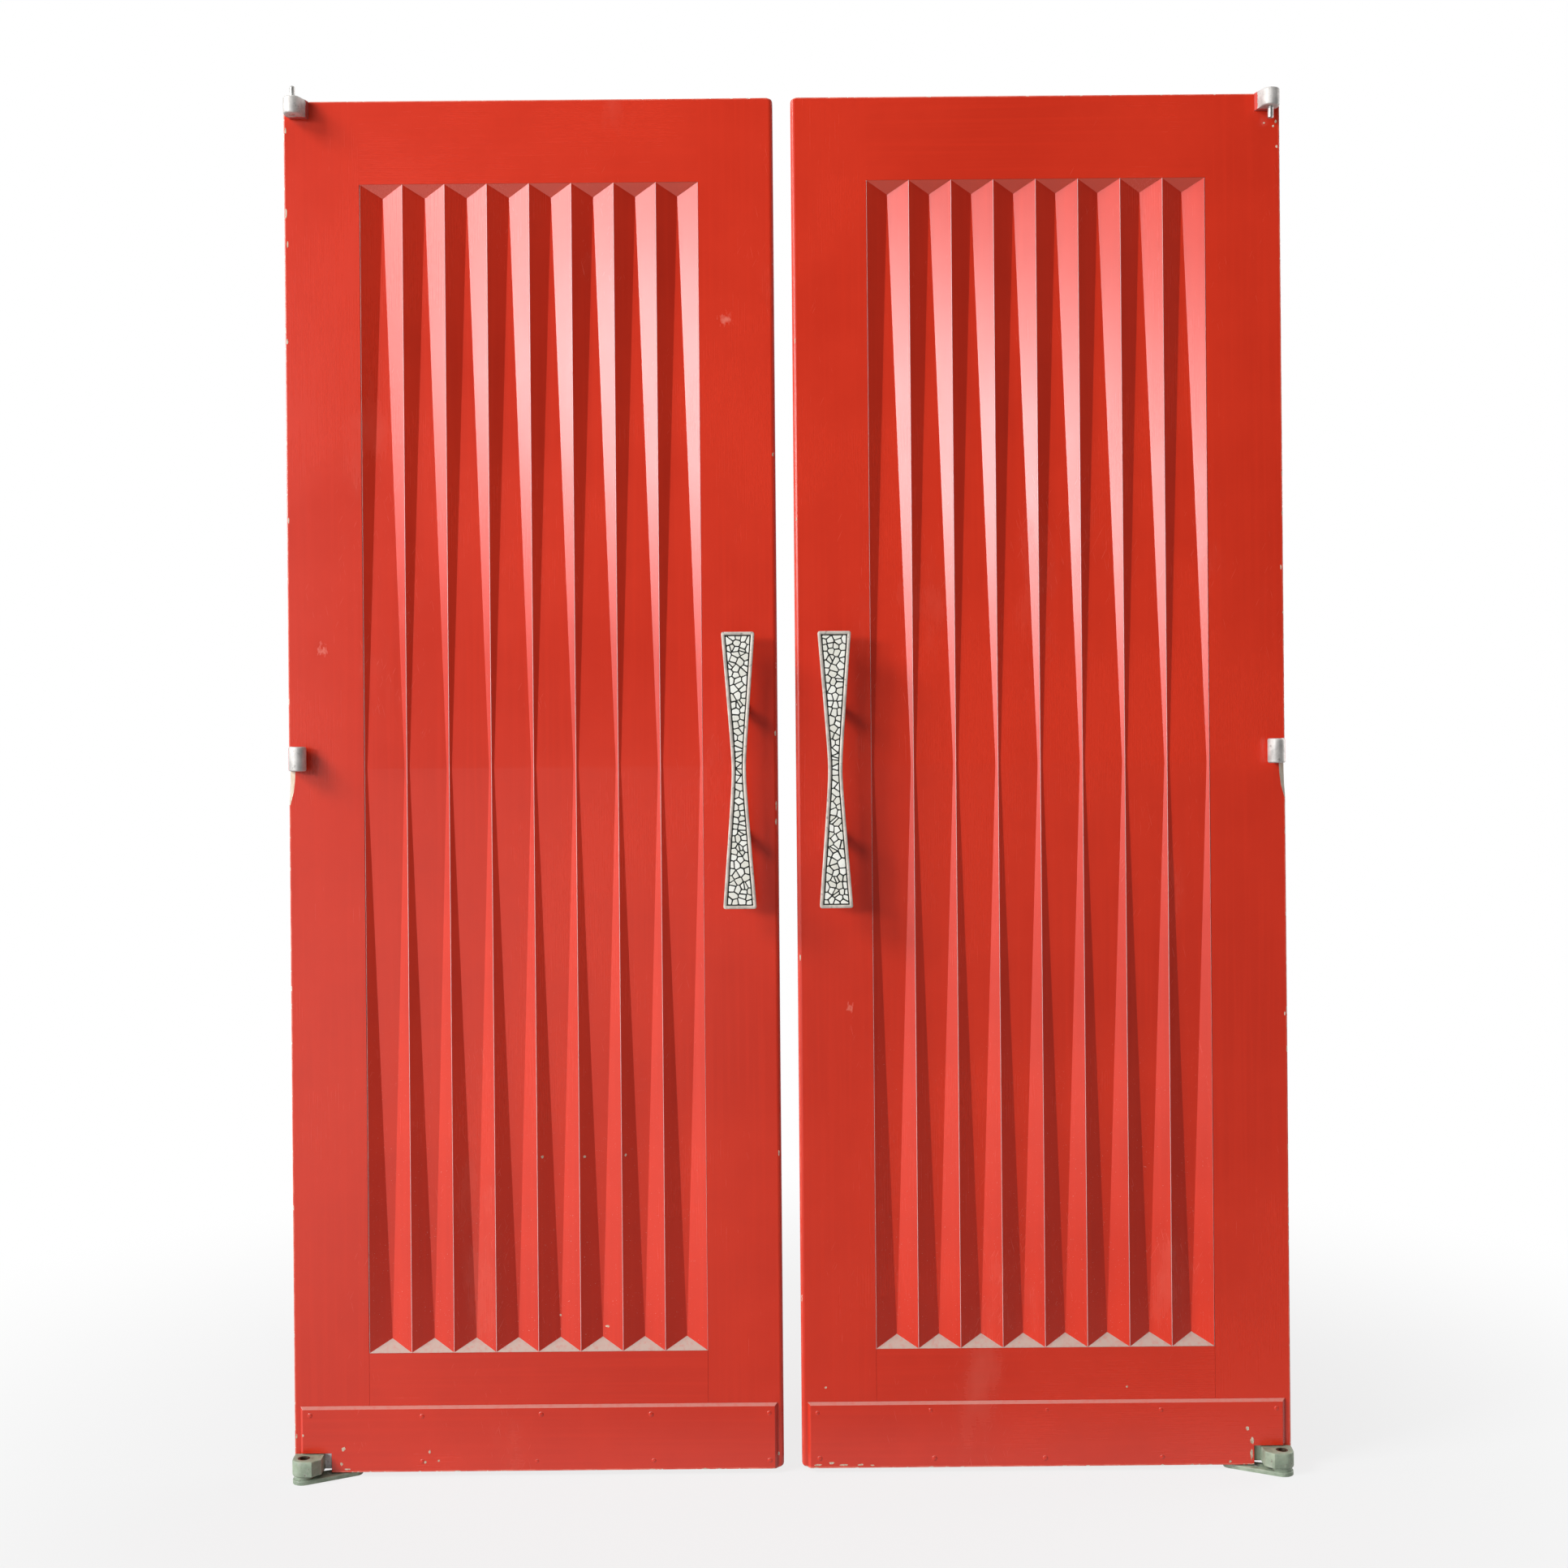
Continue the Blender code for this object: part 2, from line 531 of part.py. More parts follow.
def tray_ring(inset, v):
    """The outline of the tray at one depth, with rounded corners."""
    radius = max(PULL_CORNER_RADIUS - inset, PULL_CORNER_RADIUS / 6)
    reach = PULL_HEIGHT / 2 - inset - radius
    side = []
    for step in range(TRAY_SIDE_STEPS + 1):
        height = reach * (2 * step / TRAY_SIDE_STEPS - 1)
        side.append((half_width(height, inset), height))
    corner = circle(half_width(reach, inset) - radius, reach, radius, 0, 90, EDGE_STEPS)[1:]
    right = [(a, -b) for a, b in reversed(corner)] + side + corner
    left = [(-a, b) for a, b in reversed(right)]
    return [(PULL_U + a, v, PULL_CENTRE_HEIGHT + b) for a, b in right + left]


def pull_tray(leaf):
    eased = TRAY_EDGE_ROUND
    back_v = -PULL_STANDOFF
    rings = (
        tray_ring(eased, back_v),
        tray_ring(0, back_v - eased),
        tray_ring(0, TRAY_FRONT_V + eased),
        tray_ring(eased, TRAY_FRONT_V),
        tray_ring(TRAY_RIM - eased / 2, TRAY_FRONT_V),
        tray_ring(TRAY_RIM, TRAY_FRONT_V + eased / 2),
        tray_ring(TRAY_RIM, TRAY_FRONT_V + TRAY_RECESS),
    )
    return leaf.skinned("pull_tray", rings)


def trimmed(cell, point, normal):
    """The part of a convex cell that lies behind a line."""
    kept = []
    for i, there in enumerate(cell):
        here = cell[i - 1]
        gone = [(p[0] - point[0]) * normal[0] + (p[1] - point[1]) * normal[1] for p in (here, there)]
        if (gone[0] > 0) != (gone[1] > 0):
            part = gone[0] / (gone[0] - gone[1])
            kept.append((here[0] + part * (there[0] - here[0]), here[1] + part * (there[1] - here[1])))
        if gone[1] <= 0:
            kept.append(there)
    return kept


def chip_cells(layout):
    """Outlines of the stone chips: cells round scattered points, drawn back by the grout gap."""
    picker = random.Random(layout)
    edge = TRAY_RIM + FIT + GROUT_GAP / 2
    reach = PULL_HEIGHT / 2 - edge
    rows = round(2 * reach / CHIP_SIZE)
    seeds = []
    for row in range(rows):
        height = reach * ((2 * row + 1) / rows - 1)
        half = half_width(height, edge)
        count = max(1, round(2 * half / CHIP_SIZE))
        for column in range(count):
            across = half * ((2 * column + 1) / count - 1) + picker.uniform(-1, 1) * CHIP_SCATTER
            seeds.append((across, height + picker.uniform(-1, 1) * CHIP_SCATTER))
    cells = []
    far = 2 * CHIP_SIZE
    for a, b in seeds:
        cell = [(a - far, b - far), (a + far, b - far), (a + far, b + far), (a - far, b + far)]
        for c, d in seeds:
            gap = math.hypot(c - a, d - b)
            if 0 < gap < 2 * far:
                normal = ((c - a) / gap, (d - b) / gap)
                back = gap / 2 - GROUT_GAP / 2
                cell = trimmed(cell, (a + normal[0] * back, b + normal[1] * back), normal)
        half = half_width(b, edge)
        slope = (half_width(b + FIT, edge) - half_width(b - FIT, edge)) / (2 * FIT)
        for way in (-1, 1):
            cell = trimmed(cell, (way * half, b), (way, -slope))
            cell = trimmed(cell, (0, way * reach), (0, way))
        corners = [p for i, p in enumerate(cell) if math.dist(p, cell[i - 1]) > CHIP_CORNER_MERGE]
        if len(corners) < 3:
            continue
        spans = [max(p[k] for p in corners) - min(p[k] for p in corners) for k in (0, 1)]
        if min(spans) > CHIP_LEAST_SPAN:
            cells.append(corners)
    return cells


def pull_mosaic(leaf, layout):
    """The bed of grout with its chips, one body."""
    back_v = TRAY_FRONT_V + TRAY_RECESS - FIT
    face_v = back_v - BED_THICKNESS
    bed = leaf.skinned("pull_mosaic", [tray_ring(TRAY_RIM + FIT, v) for v in (back_v, face_v)])
    points = []
    faces = []
    for cell in chip_cells(layout):
        first = len(points)
        count = len(cell)
        for v in (face_v + BED_THICKNESS / 2, face_v - CHIP_RELIEF):
            points += [(PULL_U + a, v, PULL_CENTRE_HEIGHT + b) for a, b in cell]
        for i in range(count):
            j = (i + 1) % count
            faces.append((first + i, first + j, first + count + j, first + count + i))
        faces.append(tuple(range(first, first + count)))
        faces.append(tuple(range(first + count, first + 2 * count)))
    combine(bed, leaf.faced("chips", points, faces), "UNION")
    return bed


def pull_post(leaf, end):
    """A spacer with a foot on the face, drilled from the back for its bolt."""
    foot_v = -FIT
    flange_v = foot_v - POST_FLANGE_THICKNESS
    head_v = FIT - PULL_STANDOFF
    bore_r = BOLT_RADIUS + FIT
    profile = (
        (bore_r, -BOLT_GRIP - FIT), (bore_r, foot_v), (POST_FLANGE_RADIUS, foot_v),
        (POST_FLANGE_RADIUS, flange_v), (POST_RADIUS, flange_v), (POST_RADIUS, head_v),
    )
    return leaf.turned_through("pull_post_" + end, PULL_U, POST_HEIGHTS[end], profile)


def pull_bolt(leaf, end):
    """A bolt through the stile, with its head on the back."""
    seat_v = LEAF_THICKNESS + FIT
    top_v = seat_v + BOLT_HEAD_HEIGHT
    profile = (
        (BOLT_RADIUS, -BOLT_GRIP), (BOLT_RADIUS, seat_v), (BOLT_HEAD_RADIUS, seat_v),
        (BOLT_HEAD_RADIUS, top_v - BOLT_HEAD_ROUND), (BOLT_HEAD_RADIUS - BOLT_HEAD_ROUND, top_v),
    )
    return leaf.turned_through("pull_bolt_" + end, PULL_U, POST_HEIGHTS[end], profile)


for old in list(bpy.data.objects):
    bpy.data.objects.remove(old)

# The left pin stands up in its working place, and the right one is let down.
for leaf, pin_lift, layout in ((Leaf("left", 1), PIN_TRAVEL, 11), (Leaf("right", -1), 0.0, 23)):
    leaf.finish(hinge_stile(leaf), "red_paint")
    leaf.finish(meeting_stile(leaf), "red_paint")
    upper_groove_w = (PANEL_HIGH - OVERRUN, GROOVE_W[1])
    lower_groove_w = (GROOVE_W[0], PANEL_LOW + OVERRUN)
    leaf.finish(rail(leaf, "top_rail", TOP_RAIL_W, TOP_TENON_W, upper_groove_w), "red_paint")
    leaf.finish(rail(leaf, "bottom_rail", BOTTOM_RAIL_W, BOTTOM_TENON_W, lower_groove_w), "red_paint")
    for number in range(1, FLUTE_COUNT + 1):
        leaf.finish(flute_stave(leaf, number), "red_paint")
    leaf.finish(back_panel(leaf), "red_paint")
    leaf.finish(kick_board(leaf), "red_paint")
    leaf.finish(top_pivot_arm(leaf), "cast_aluminium")
    leaf.finish(top_pivot_pin(leaf, pin_lift), "steel")
    leaf.finish(mid_pivot(leaf), "cast_aluminium")
    leaf.finish(bush(leaf, "mid_pivot_bush", MID_BUSH_RADIUS, MID_BUSH_BORE, MID_W), "bronze")
    leaf.finish(bottom_pivot_arm(leaf), "grey_green_paint")
    bottom_bore = SPINDLE_RADIUS + FIT
    leaf.finish(bush(leaf, "bottom_pivot_bush", BOTTOM_BUSH_RADIUS, bottom_bore, BOTTOM_ARM_W), "bronze")
    leaf.finish(pull_tray(leaf), "cast_aluminium")
    leaf.finish(pull_mosaic(leaf, layout), "mosaic")
    for end in POST_HEIGHTS:
        leaf.finish(pull_post(leaf, end), "cast_aluminium")
        leaf.finish(pull_bolt(leaf, end), "steel")
    leaf.finish(floor_plate(leaf), "grey_green_paint", moves=False)
    leaf.finish(floor_spindle(leaf), "steel", moves=False)
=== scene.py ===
import math
import random

import bmesh
import bpy
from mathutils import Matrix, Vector
from mathutils.bvhtree import BVHTree


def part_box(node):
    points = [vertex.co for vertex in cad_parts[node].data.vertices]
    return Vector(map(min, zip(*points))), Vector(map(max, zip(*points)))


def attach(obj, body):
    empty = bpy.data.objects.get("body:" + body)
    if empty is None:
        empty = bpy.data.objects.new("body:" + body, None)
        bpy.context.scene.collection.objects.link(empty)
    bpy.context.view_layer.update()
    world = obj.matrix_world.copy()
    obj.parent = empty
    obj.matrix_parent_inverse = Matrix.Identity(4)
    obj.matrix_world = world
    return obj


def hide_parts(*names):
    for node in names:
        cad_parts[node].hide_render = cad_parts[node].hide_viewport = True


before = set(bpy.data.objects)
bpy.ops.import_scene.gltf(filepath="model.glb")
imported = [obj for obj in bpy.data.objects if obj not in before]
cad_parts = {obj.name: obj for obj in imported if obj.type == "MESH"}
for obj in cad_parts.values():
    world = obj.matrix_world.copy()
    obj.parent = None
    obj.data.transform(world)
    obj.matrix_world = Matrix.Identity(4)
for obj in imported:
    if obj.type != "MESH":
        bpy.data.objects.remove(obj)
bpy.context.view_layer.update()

# Stiles and rails: solid timber, tenoned and glued into a frame, then brushed with coats of red enamel.
# The outer arrises are softened by sanding and by knocks, and pale wood shows where flakes have come off.
leaves = ("left", "right")
arris_ease = 0.0016
facet_ease = 0.0007
hinge_low, hinge_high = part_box("right_hinge_stile")
meeting_low, meeting_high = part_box("right_meeting_stile")
leaf_in, leaf_out = meeting_low.x, hinge_high.x
face_y, back_y = hinge_low.y, hinge_high.y
foot_z, head_z = hinge_low.z, hinge_high.z
enamel_deep = (0.58, 0.026, 0.008, 1)
enamel_fresh = (0.68, 0.034, 0.011, 1)
# Pale faded enamel, used for chalky wear and also as painted light on faces turned down and on the arrises.
faded_and_lit_enamel = (0.80, 0.20, 0.14, 1)
primer = (0.70, 0.61, 0.50, 1)
bare_timber = (0.50, 0.37, 0.24, 1)
dust = (0.52, 0.40, 0.34, 1)
enamel_ior = 1.56
smudges = ((-0.0903, 1.798, 0.010), (-0.722, 1.287, 0.009), (0.095, 0.725, 0.006))
smudge_stray = 0.02
on_plane = 0.00005


def add(tree, kind, inputs=None, **settings):
    """A node with its settings made, and its inputs set or joined to other nodes."""
    made = tree.nodes.new(kind)
    for key, value in settings.items():
        setattr(made, key, value)
    for key, value in (inputs or {}).items():
        if isinstance(value, bpy.types.NodeSocket):
            tree.links.new(value, made.inputs[key])
        else:
            made.inputs[key].default_value = value
    return made


def result(tree, kind, inputs=None, **settings):
    """The first output of such a node."""
    return add(tree, kind, inputs, **settings).outputs[0]


def maths(tree, operation, *values):
    return result(tree, "ShaderNodeMath", dict(enumerate(values)), operation=operation)


def times(tree, value, factor):
    return maths(tree, "MULTIPLY", value, factor)


def more(tree, base, value, factor):
    """A base with a share of another value added."""
    return maths(tree, "MULTIPLY_ADD", value, factor, base)


def axes_of(tree, vector):
    return add(tree, "ShaderNodeSeparateXYZ", {0: vector}).outputs


def between(tree, value, low, high, start=0.0, end=1.0):
    """The value eased from start to end as it goes from low to high."""
    inputs = {"Value": value, "From Min": low, "From Max": high, "To Min": start, "To Max": end}
    return result(tree, "ShaderNodeMapRange", inputs, interpolation_type="SMOOTHSTEP")


def mixed(tree, share, first, second):
    return add(tree, "ShaderNodeMix", {0: share, 6: first, 7: second}, data_type="RGBA").outputs[2]


def speckle(tree, place, scale, detail=3.0, squeeze=(1, 1, 1)):
    """Noise at a scale given in cells per metre, squeezed along an axis where asked."""
    squeezed = result(tree, "ShaderNodeMapping", {"Vector": place, "Scale": squeeze})
    inputs = {"Vector": squeezed, "Scale": scale, "Detail": detail, "Roughness": 0.58}
    return result(tree, "ShaderNodeTexNoise", inputs)


def new_finish(name):
    """An empty material: its tree, its shader and the place of each point on the object."""
    made = bpy.data.materials.new(name)
    made.use_nodes = True
    tree = made.node_tree
    return made, tree, tree.nodes["Principled BSDF"], add(tree, "ShaderNodeTexCoord").outputs["Object"]


def to_shader(tree, shader, colour, roughness, height, depth=0.001):
    """Joins colour, roughness and a height in units of depth to the shader."""
    bump = result(tree, "ShaderNodeBump", {"Height": height, "Distance": depth, "Strength": 1.0})
    for value, socket in ((colour, "Base Color"), (roughness, "Roughness"), (bump, "Normal")):
        tree.links.new(value, shader.inputs[socket])


def arris_distance(tree, place):
    """How far a point of a leaf is from the nearest outer arris: the middle one of three distances."""
    axes = axes_of(tree, place)
    across = maths(tree, "ABSOLUTE", axes[0])
    gaps = []
    for value, low, high in ((across, leaf_in, leaf_out), (axes[1], face_y, back_y), (axes[2], foot_z, head_z)):
        past_low, short_of_high = maths(tree, "SUBTRACT", value, low), maths(tree, "SUBTRACT", high, value)
        gaps.append(maths(tree, "MINIMUM", past_low, short_of_high))
    least = maths(tree, "MINIMUM", gaps[0], gaps[1])
    most = maths(tree, "MAXIMUM", gaps[0], gaps[1])
    return maths(tree, "MAXIMUM", least, maths(tree, "MINIMUM", most, gaps[2]))


def red_enamel(name, along):
    """Old brushed enamel; along is the axis the brush was drawn on."""
    made, tree, shader, place = new_finish(name)
    strokes = [1.0, 1.0, 1.0]
    strokes["XYZ".index(along)] = 0.02
    marks = speckle(tree, place, 640, 3.0, strokes)
    sweeps = speckle(tree, place, 130, 2.0, strokes)
    peel = speckle(tree, place, 420, 1.0)
    cloud = speckle(tree, place, 2.2, 5.0)
    colour = mixed(tree, between(tree, cloud, 0.32, 0.68), enamel_deep, enamel_fresh)
    streak = times(tree, between(tree, sweeps, 0.40, 0.72), 0.35)
    colour = mixed(tree, streak, colour, enamel_fresh)
    # Rubbed, chalky patches, and fine slanting scratches where things have brushed past.
    rubbed = speckle(tree, place, 5.5, 5.0, (1, 1, 0.35))
    chalky = times(tree, between(tree, rubbed, 0.60, 0.80), 0.20)
    for lean in (0.22, -0.45):
        leaning = result(tree, "ShaderNodeMapping", {"Vector": place, "Rotation": (0, lean, 0)})
        lines = between(tree, speckle(tree, leaning, 1100, 0.0, (1, 0.2, 0.03)), 0.785, 0.83)
        lines = times(tree, lines, between(tree, rubbed, 0.52, 0.68, 0.0, 0.25))
        chalky = maths(tree, "MAXIMUM", chalky, lines)
    stray = times(tree, speckle(tree, place, 210, 4.0, (1, 1, 0.5)), 0.04)
    for across, up, reach in smudges:
        ends = {0: place, 1: (across, face_y, up)}
        away = add(tree, "ShaderNodeVectorMath", ends, operation="DISTANCE").outputs["Value"]
        ragged = maths(tree, "SUBTRACT", maths(tree, "ADD", away, stray), smudge_stray)
        chalky = maths(tree, "MAXIMUM", chalky, between(tree, ragged, 0.0, reach, 0.6, 0.0))
    colour = mixed(tree, chalky, colour, faded_and_lit_enamel)
    # Faces turned down are painted lighter: painted light, as if thrown up from the floor below.
    # Dust lies on what faces up, and specks of it gather low in the flutes.
    axes = axes_of(tree, place)
    upward = axes_of(tree, add(tree, "ShaderNodeNewGeometry").outputs["True Normal"])[2]
    painted_underlight = between(tree, upward, -0.58, -0.40, 0.34, 0.0)
    colour = mixed(tree, painted_underlight, colour, faded_and_lit_enamel)
    film = between(tree, speckle(tree, place, 170, 5.0), 0.30, 0.55, 0.70, 0.95)
    settled = times(tree, between(tree, upward, 0.25, 0.55), film)
    behind_face = between(tree, axes[1], face_y - 0.0006, face_y - 0.0002, 0.45, 1.0)
    settled = times(tree, settled, behind_face)
    specks = between(tree, speckle(tree, place, 560, 1.0), 0.74, 0.77)
    specks = times(tree, specks, between(tree, axes[2], 0.30, 0.85, 0.5, 0.0))
    specks = times(tree, specks, between(tree, axes[1], face_y + 0.001, face_y + 0.003))
    settled = maths(tree, "MAXIMUM", settled, specks)
    colour = mixed(tree, settled, colour, dust)
    # The arrises carry a pale line, partly rubbed paint and partly a painted highlight of light catching the
    # edge, and flakes are lost along them, first to primer and then to wood.
    inward = arris_distance(tree, place)
    worn_and_edge_highlight = between(tree, speckle(tree, place, 42, 4.0), 0.35, 0.65, 0.30, 0.95)
    worn_and_edge_highlight = times(tree, worn_and_edge_highlight, between(tree, inward, 0.0012, 0.0030, 1.0, 0.0))
    colour = mixed(tree, worn_and_edge_highlight, colour, faded_and_lit_enamel)
    ragged = speckle(tree, place, 85, 5.0, (1, 1, 0.55))
    margin = between(tree, inward, 0.0004, 0.0046, 0.575, 0.86)
    lost = maths(tree, "SUBTRACT", ragged, margin)
    flaked = between(tree, lost, 0.0, 0.012)
    colour = mixed(tree, flaked, colour, primer)
    colour = mixed(tree, between(tree, lost, 0.035, 0.06), colour, bare_timber)
    dull = maths(tree, "MAXIMUM", maths(tree, "MAXIMUM", flaked, chalky), settled)
    rough = between(tree, cloud, 0.25, 0.75, 0.21, 0.26)
    rough = more(tree, more(tree, rough, marks, 0.05), dull, 0.40)
    height = times(tree, marks, 0.020)
    for layer, rise in ((sweeps, 0.030), (peel, 0.014), (flaked, -0.12)):
        height = more(tree, height, layer, rise)
    to_shader(tree, shader, colour, rough, height)
    shader.inputs["IOR"].default_value = enamel_ior
    return made


def bare_wood():
    """Planed softwood with no paint on it, grey at the pores."""
    made, tree, shader, place = new_finish("bare_wood")
    grain = speckle(tree, place, 700, 4.0, (1, 1, 0.03))
    pale = mixed(tree, between(tree, grain, 0.35, 0.7), bare_timber, (0.68, 0.60, 0.50, 1))
    dirt = between(tree, speckle(tree, place, 90, 3.0), 0.55, 0.75, 0.0, 0.45)
    colour = mixed(tree, dirt, pale, (0.36, 0.28, 0.21, 1))
    to_shader(tree, shader, colour, between(tree, grain, 0.3, 0.7, 0.6, 0.8), grain, 0.0004)
    return made


def put(name, data):
    """A new object in the scene."""
    made = bpy.data.objects.new(name, data)
    bpy.context.scene.collection.objects.link(made)
    return made


def as_piece(name, mesh, body, slot, *stands_for):
    """A finished mesh as a piece that rides on a body, in the place of the CAD nodes that it stands for."""
    made = put(name, mesh)
    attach(made, body)
    if stands_for:
        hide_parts(*stands_for)
    return made


def merged_copy(node):
    """The CAD solid's shape with its loose triangles joined into whole faces."""
    shape = bmesh.new()
    shape.from_mesh(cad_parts[node].data)
    bmesh.ops.remove_doubles(shape, verts=shape.verts, dist=0.00002)
    bmesh.ops.dissolve_limit(shape, angle_limit=math.radians(0.5), verts=shape.verts, edges=shape.edges)
    return shape


def mesh_of(shape, name, *finishes):
    """A worked shape as a mesh with its finishes."""
    mesh = bpy.data.meshes.new(name)
    shape.to_mesh(mesh)
    shape.free()
    for finish in finishes:
        mesh.materials.append(finish)
    return mesh


def plain_mesh(name, corners, faces=()):
    mesh = bpy.data.meshes.new(name)
    mesh.from_pydata(corners, [], faces)
    return mesh


def applied(holder):
    """The mesh that an object's modifiers make; the object goes."""
    graph = bpy.context.evaluated_depsgraph_get()
    mesh = bpy.data.meshes.new_from_object(holder.evaluated_get(graph))
    holder.modifiers.clear()
    bpy.data.objects.remove(holder)
    return mesh


def skin_over(shape, outlines):
    """Walls from each outline to the next one, closed at both ends."""
    rings = [[shape.verts.new(corner) for corner in outline] for outline in outlines]
    for near, far in zip(rings, rings[1:]):
        for step in range(len(near)):
            shape.faces.new((near[step - 1], near[step], far[step], far[step - 1]))
    shape.faces.new(rings[0])
    shape.faces.new(rings[-1])
    bmesh.ops.recalc_face_normals(shape, faces=shape.faces)


def round_over(shape, edges, ease, segments):
    bmesh.ops.bevel(shape, geom=edges, offset=ease, segments=segments, profile=0.5, affect="EDGES")


def corners_in(made):
    """The corners among the things that an operation made."""
    return [item for item in made if isinstance(item, bmesh.types.BMVert)]


def outer_planes(corner):
    """Which outer planes of its leaf a corner lies on."""
    across = abs(corner.co.x)
    tests = ((across, leaf_in), (across, leaf_out), (corner.co.y, face_y), (corner.co.y, back_y))
    tests += ((corner.co.z, foot_z), (corner.co.z, head_z))
    return {place for place, (value, plane) in enumerate(tests) if abs(value - plane) < on_plane}


upright_enamel = red_enamel("upright_enamel", "Z")
level_enamel = red_enamel("level_enamel", "X")
relief_wood = bare_wood()
shoulders = (meeting_high.x, hinge_low.x)
relief_foot_z = 1.053
relief_foot_width = 0.0017
relief_run_out = 0.007
relief_bow = ((1.084, 0.0016), (1.066, 0.0014))
relief_reach = 0.02
relief_low, relief_high = 1.0, 1.11
joint_reach = 0.0005
round_edge_reach = 0.0065
painted = {leaf: [] for leaf in leaves}
for leaf in leaves:
    for part, finish in (("hinge_stile", upright_enamel), ("meeting_stile", upright_enamel),
                         ("top_rail", level_enamel), ("bottom_rail", level_enamel)):
        node = leaf + "_" + part
        board = merged_copy(node)
        # Paint has filled the joint between the top rail and the stiles.
        for corner in board.verts:
            for shoulder in shoulders:
                if part == "top_rail" and abs(abs(corner.co.x) - shoulder) < joint_reach:
                    corner.co.x = math.copysign(shoulder, corner.co.x)
        # The tapered relief under the middle knuckle was pared with a knife, and runs out in a curve.
        if part == "hinge_stile":
            for corner in board.verts:
                if abs(corner.co.z - relief_foot_z) < joint_reach:
                    corner.co.z -= relief_run_out
                    outward = max(abs(corner.co.x), leaf_out - relief_foot_width)
                    corner.co.x = math.copysign(outward, corner.co.x)
                    corner.co.y = min(corner.co.y, face_y + relief_foot_width)
            for height, bow in relief_bow:
                whole = board.verts[:] + board.edges[:] + board.faces[:]
                cut = bmesh.ops.bisect_plane(board, geom=whole, plane_co=(0, 0, height), plane_no=(0, 0, 1))
                for corner in corners_in(cut["geom_cut"]):
                    planes = outer_planes(corner)
                    if planes == {2} and abs(corner.co.x) > leaf_out - relief_reach:
                        corner.co.x -= math.copysign(bow, corner.co.x)
                    if planes == {1} and corner.co.y < face_y + relief_reach:
                        corner.co.y += bow
        arrises = [edge for edge in board.edges
                   if len(outer_planes(edge.verts[0]) & outer_planes(edge.verts[1])) > 1]
        round_over(board, arrises, arris_ease, 3)
        # The free edge was planed round, and sanding took the facets off it.
        if part == "meeting_stile":
            facets = [edge for edge in board.edges if edge.is_convex
                      and math.radians(8) < edge.calc_face_angle(0) < math.radians(50)
                      and all(abs(corner.co.x) < leaf_in + round_edge_reach for corner in edge.verts)]
            round_over(board, facets, facet_ease, 2)
        # The relief was cut later and never painted.
        for face in board.faces:
            slanted = abs(face.normal.x) > 0.3 and face.normal.y < -0.3
            if part == "hinge_stile" and slanted and relief_low < face.calc_center_median().z < relief_high:
                face.material_index = 1
        mesh = mesh_of(board, node + "_painted", finish, relief_wood)
        painted[leaf].append(as_piece(node + "_painted", mesh, leaf + "_leaf", "red_paint", node))

# Fluted panel: staves planed to one V flute each and glued edge to edge between the rails.
# Each flute is deepest just inside its two ends, and runs out to a narrow wall half way up.
staves = 8
flute_depth = 0.0143
flute_end_run = 0.0185
flute_waist_wall = 0.004
ridge_ease = 0.00025
shrink_gap = 0.0006
ridge_band = 0.006
least_ridge = 0.1


def flute_front(left_x, width, low_z, high_z):
    """The carved front of one stave, as flat faces."""
    centre = left_x + width / 2
    middle = (low_z + high_z) / 2
    right_x = left_x + width
    waist_y = face_y + flute_depth * flute_waist_wall / (width / 2)
    valley_y = face_y + flute_depth
    corners = [(left_x, face_y, low_z), (right_x, face_y, low_z),
               (right_x, face_y, high_z), (left_x, face_y, high_z),
               (centre, valley_y, low_z + flute_end_run), (centre, valley_y, high_z - flute_end_run),
               (left_x + flute_waist_wall, waist_y, middle), (right_x - flute_waist_wall, waist_y, middle)]
    faces = [(0, 1, 4), (2, 3, 5), (0, 4, 6, 5, 3), (1, 2, 5, 7, 4), (4, 7, 6), (5, 6, 7)]
    return plain_mesh("flute", corners, faces)


def new_tree(name, **sockets):
    """A Geometry Nodes tree with a mesh in, a mesh out and the named sizes."""
    tree = bpy.data.node_groups.new(name, "GeometryNodeTree")
    tree.interface.new_socket("Mesh", in_out="INPUT", socket_type="NodeSocketGeometry")
    for socket, kind in sockets.items():
        tree.interface.new_socket(socket.replace("_", " "), in_out="INPUT", socket_type="NodeSocket" + kind)
    tree.interface.new_socket("Mesh", in_out="OUTPUT", socket_type="NodeSocketGeometry")
    return tree, tree.nodes.new("NodeGroupInput").outputs


def drawn(tree, seed, least=0.0, most=1.0):
    """A number from least to most, drawn for each point or face."""
    inputs = {"Seed": seed, 2: least, 3: most}
    return add(tree, "FunctionNodeRandomValue", inputs, data_type="FLOAT").outputs[1]


def close_tree(tree, mesh, finish):
    """Ends a tree with plain geometry and its finish."""
    plain = result(tree, "GeometryNodeRealizeInstances", {0: mesh})
    coloured = result(tree, "GeometryNodeSetMaterial", {"Geometry": plain, "Material": finish})
    tree.links.new(coloured, tree.nodes.new("NodeGroupOutput").inputs[0])


def grown(tree, start, **sizes):
    """The plain mesh that a tree makes from a starting mesh."""
    holder = put(tree.name, start)
    modifier = holder.modifiers.new(tree.name, "NODES")
    modifier.node_group = tree
    for socket in tree.interface.items_tree:
        name = socket.name.replace(" ", "_")
        if socket.in_out == "INPUT" and name in sizes:
            modifier[socket.identifier] = sizes[name]
    return applied(holder)


panel_tree, panel_sizes = new_tree("fluted_panel", Staves="Int", Pitch="Float", Finish="Material")
step = result(panel_tree, "ShaderNodeCombineXYZ", {0: panel_sizes["Pitch"]})
row = result(panel_tree, "GeometryNodeMeshLine", {"Count": panel_sizes["Staves"], "Offset": step})
set_out = result(panel_tree, "GeometryNodeInstanceOnPoints", {"Points": row, "Instance": panel_sizes["Mesh"]})
close_tree(panel_tree, set_out, panel_sizes["Finish"])

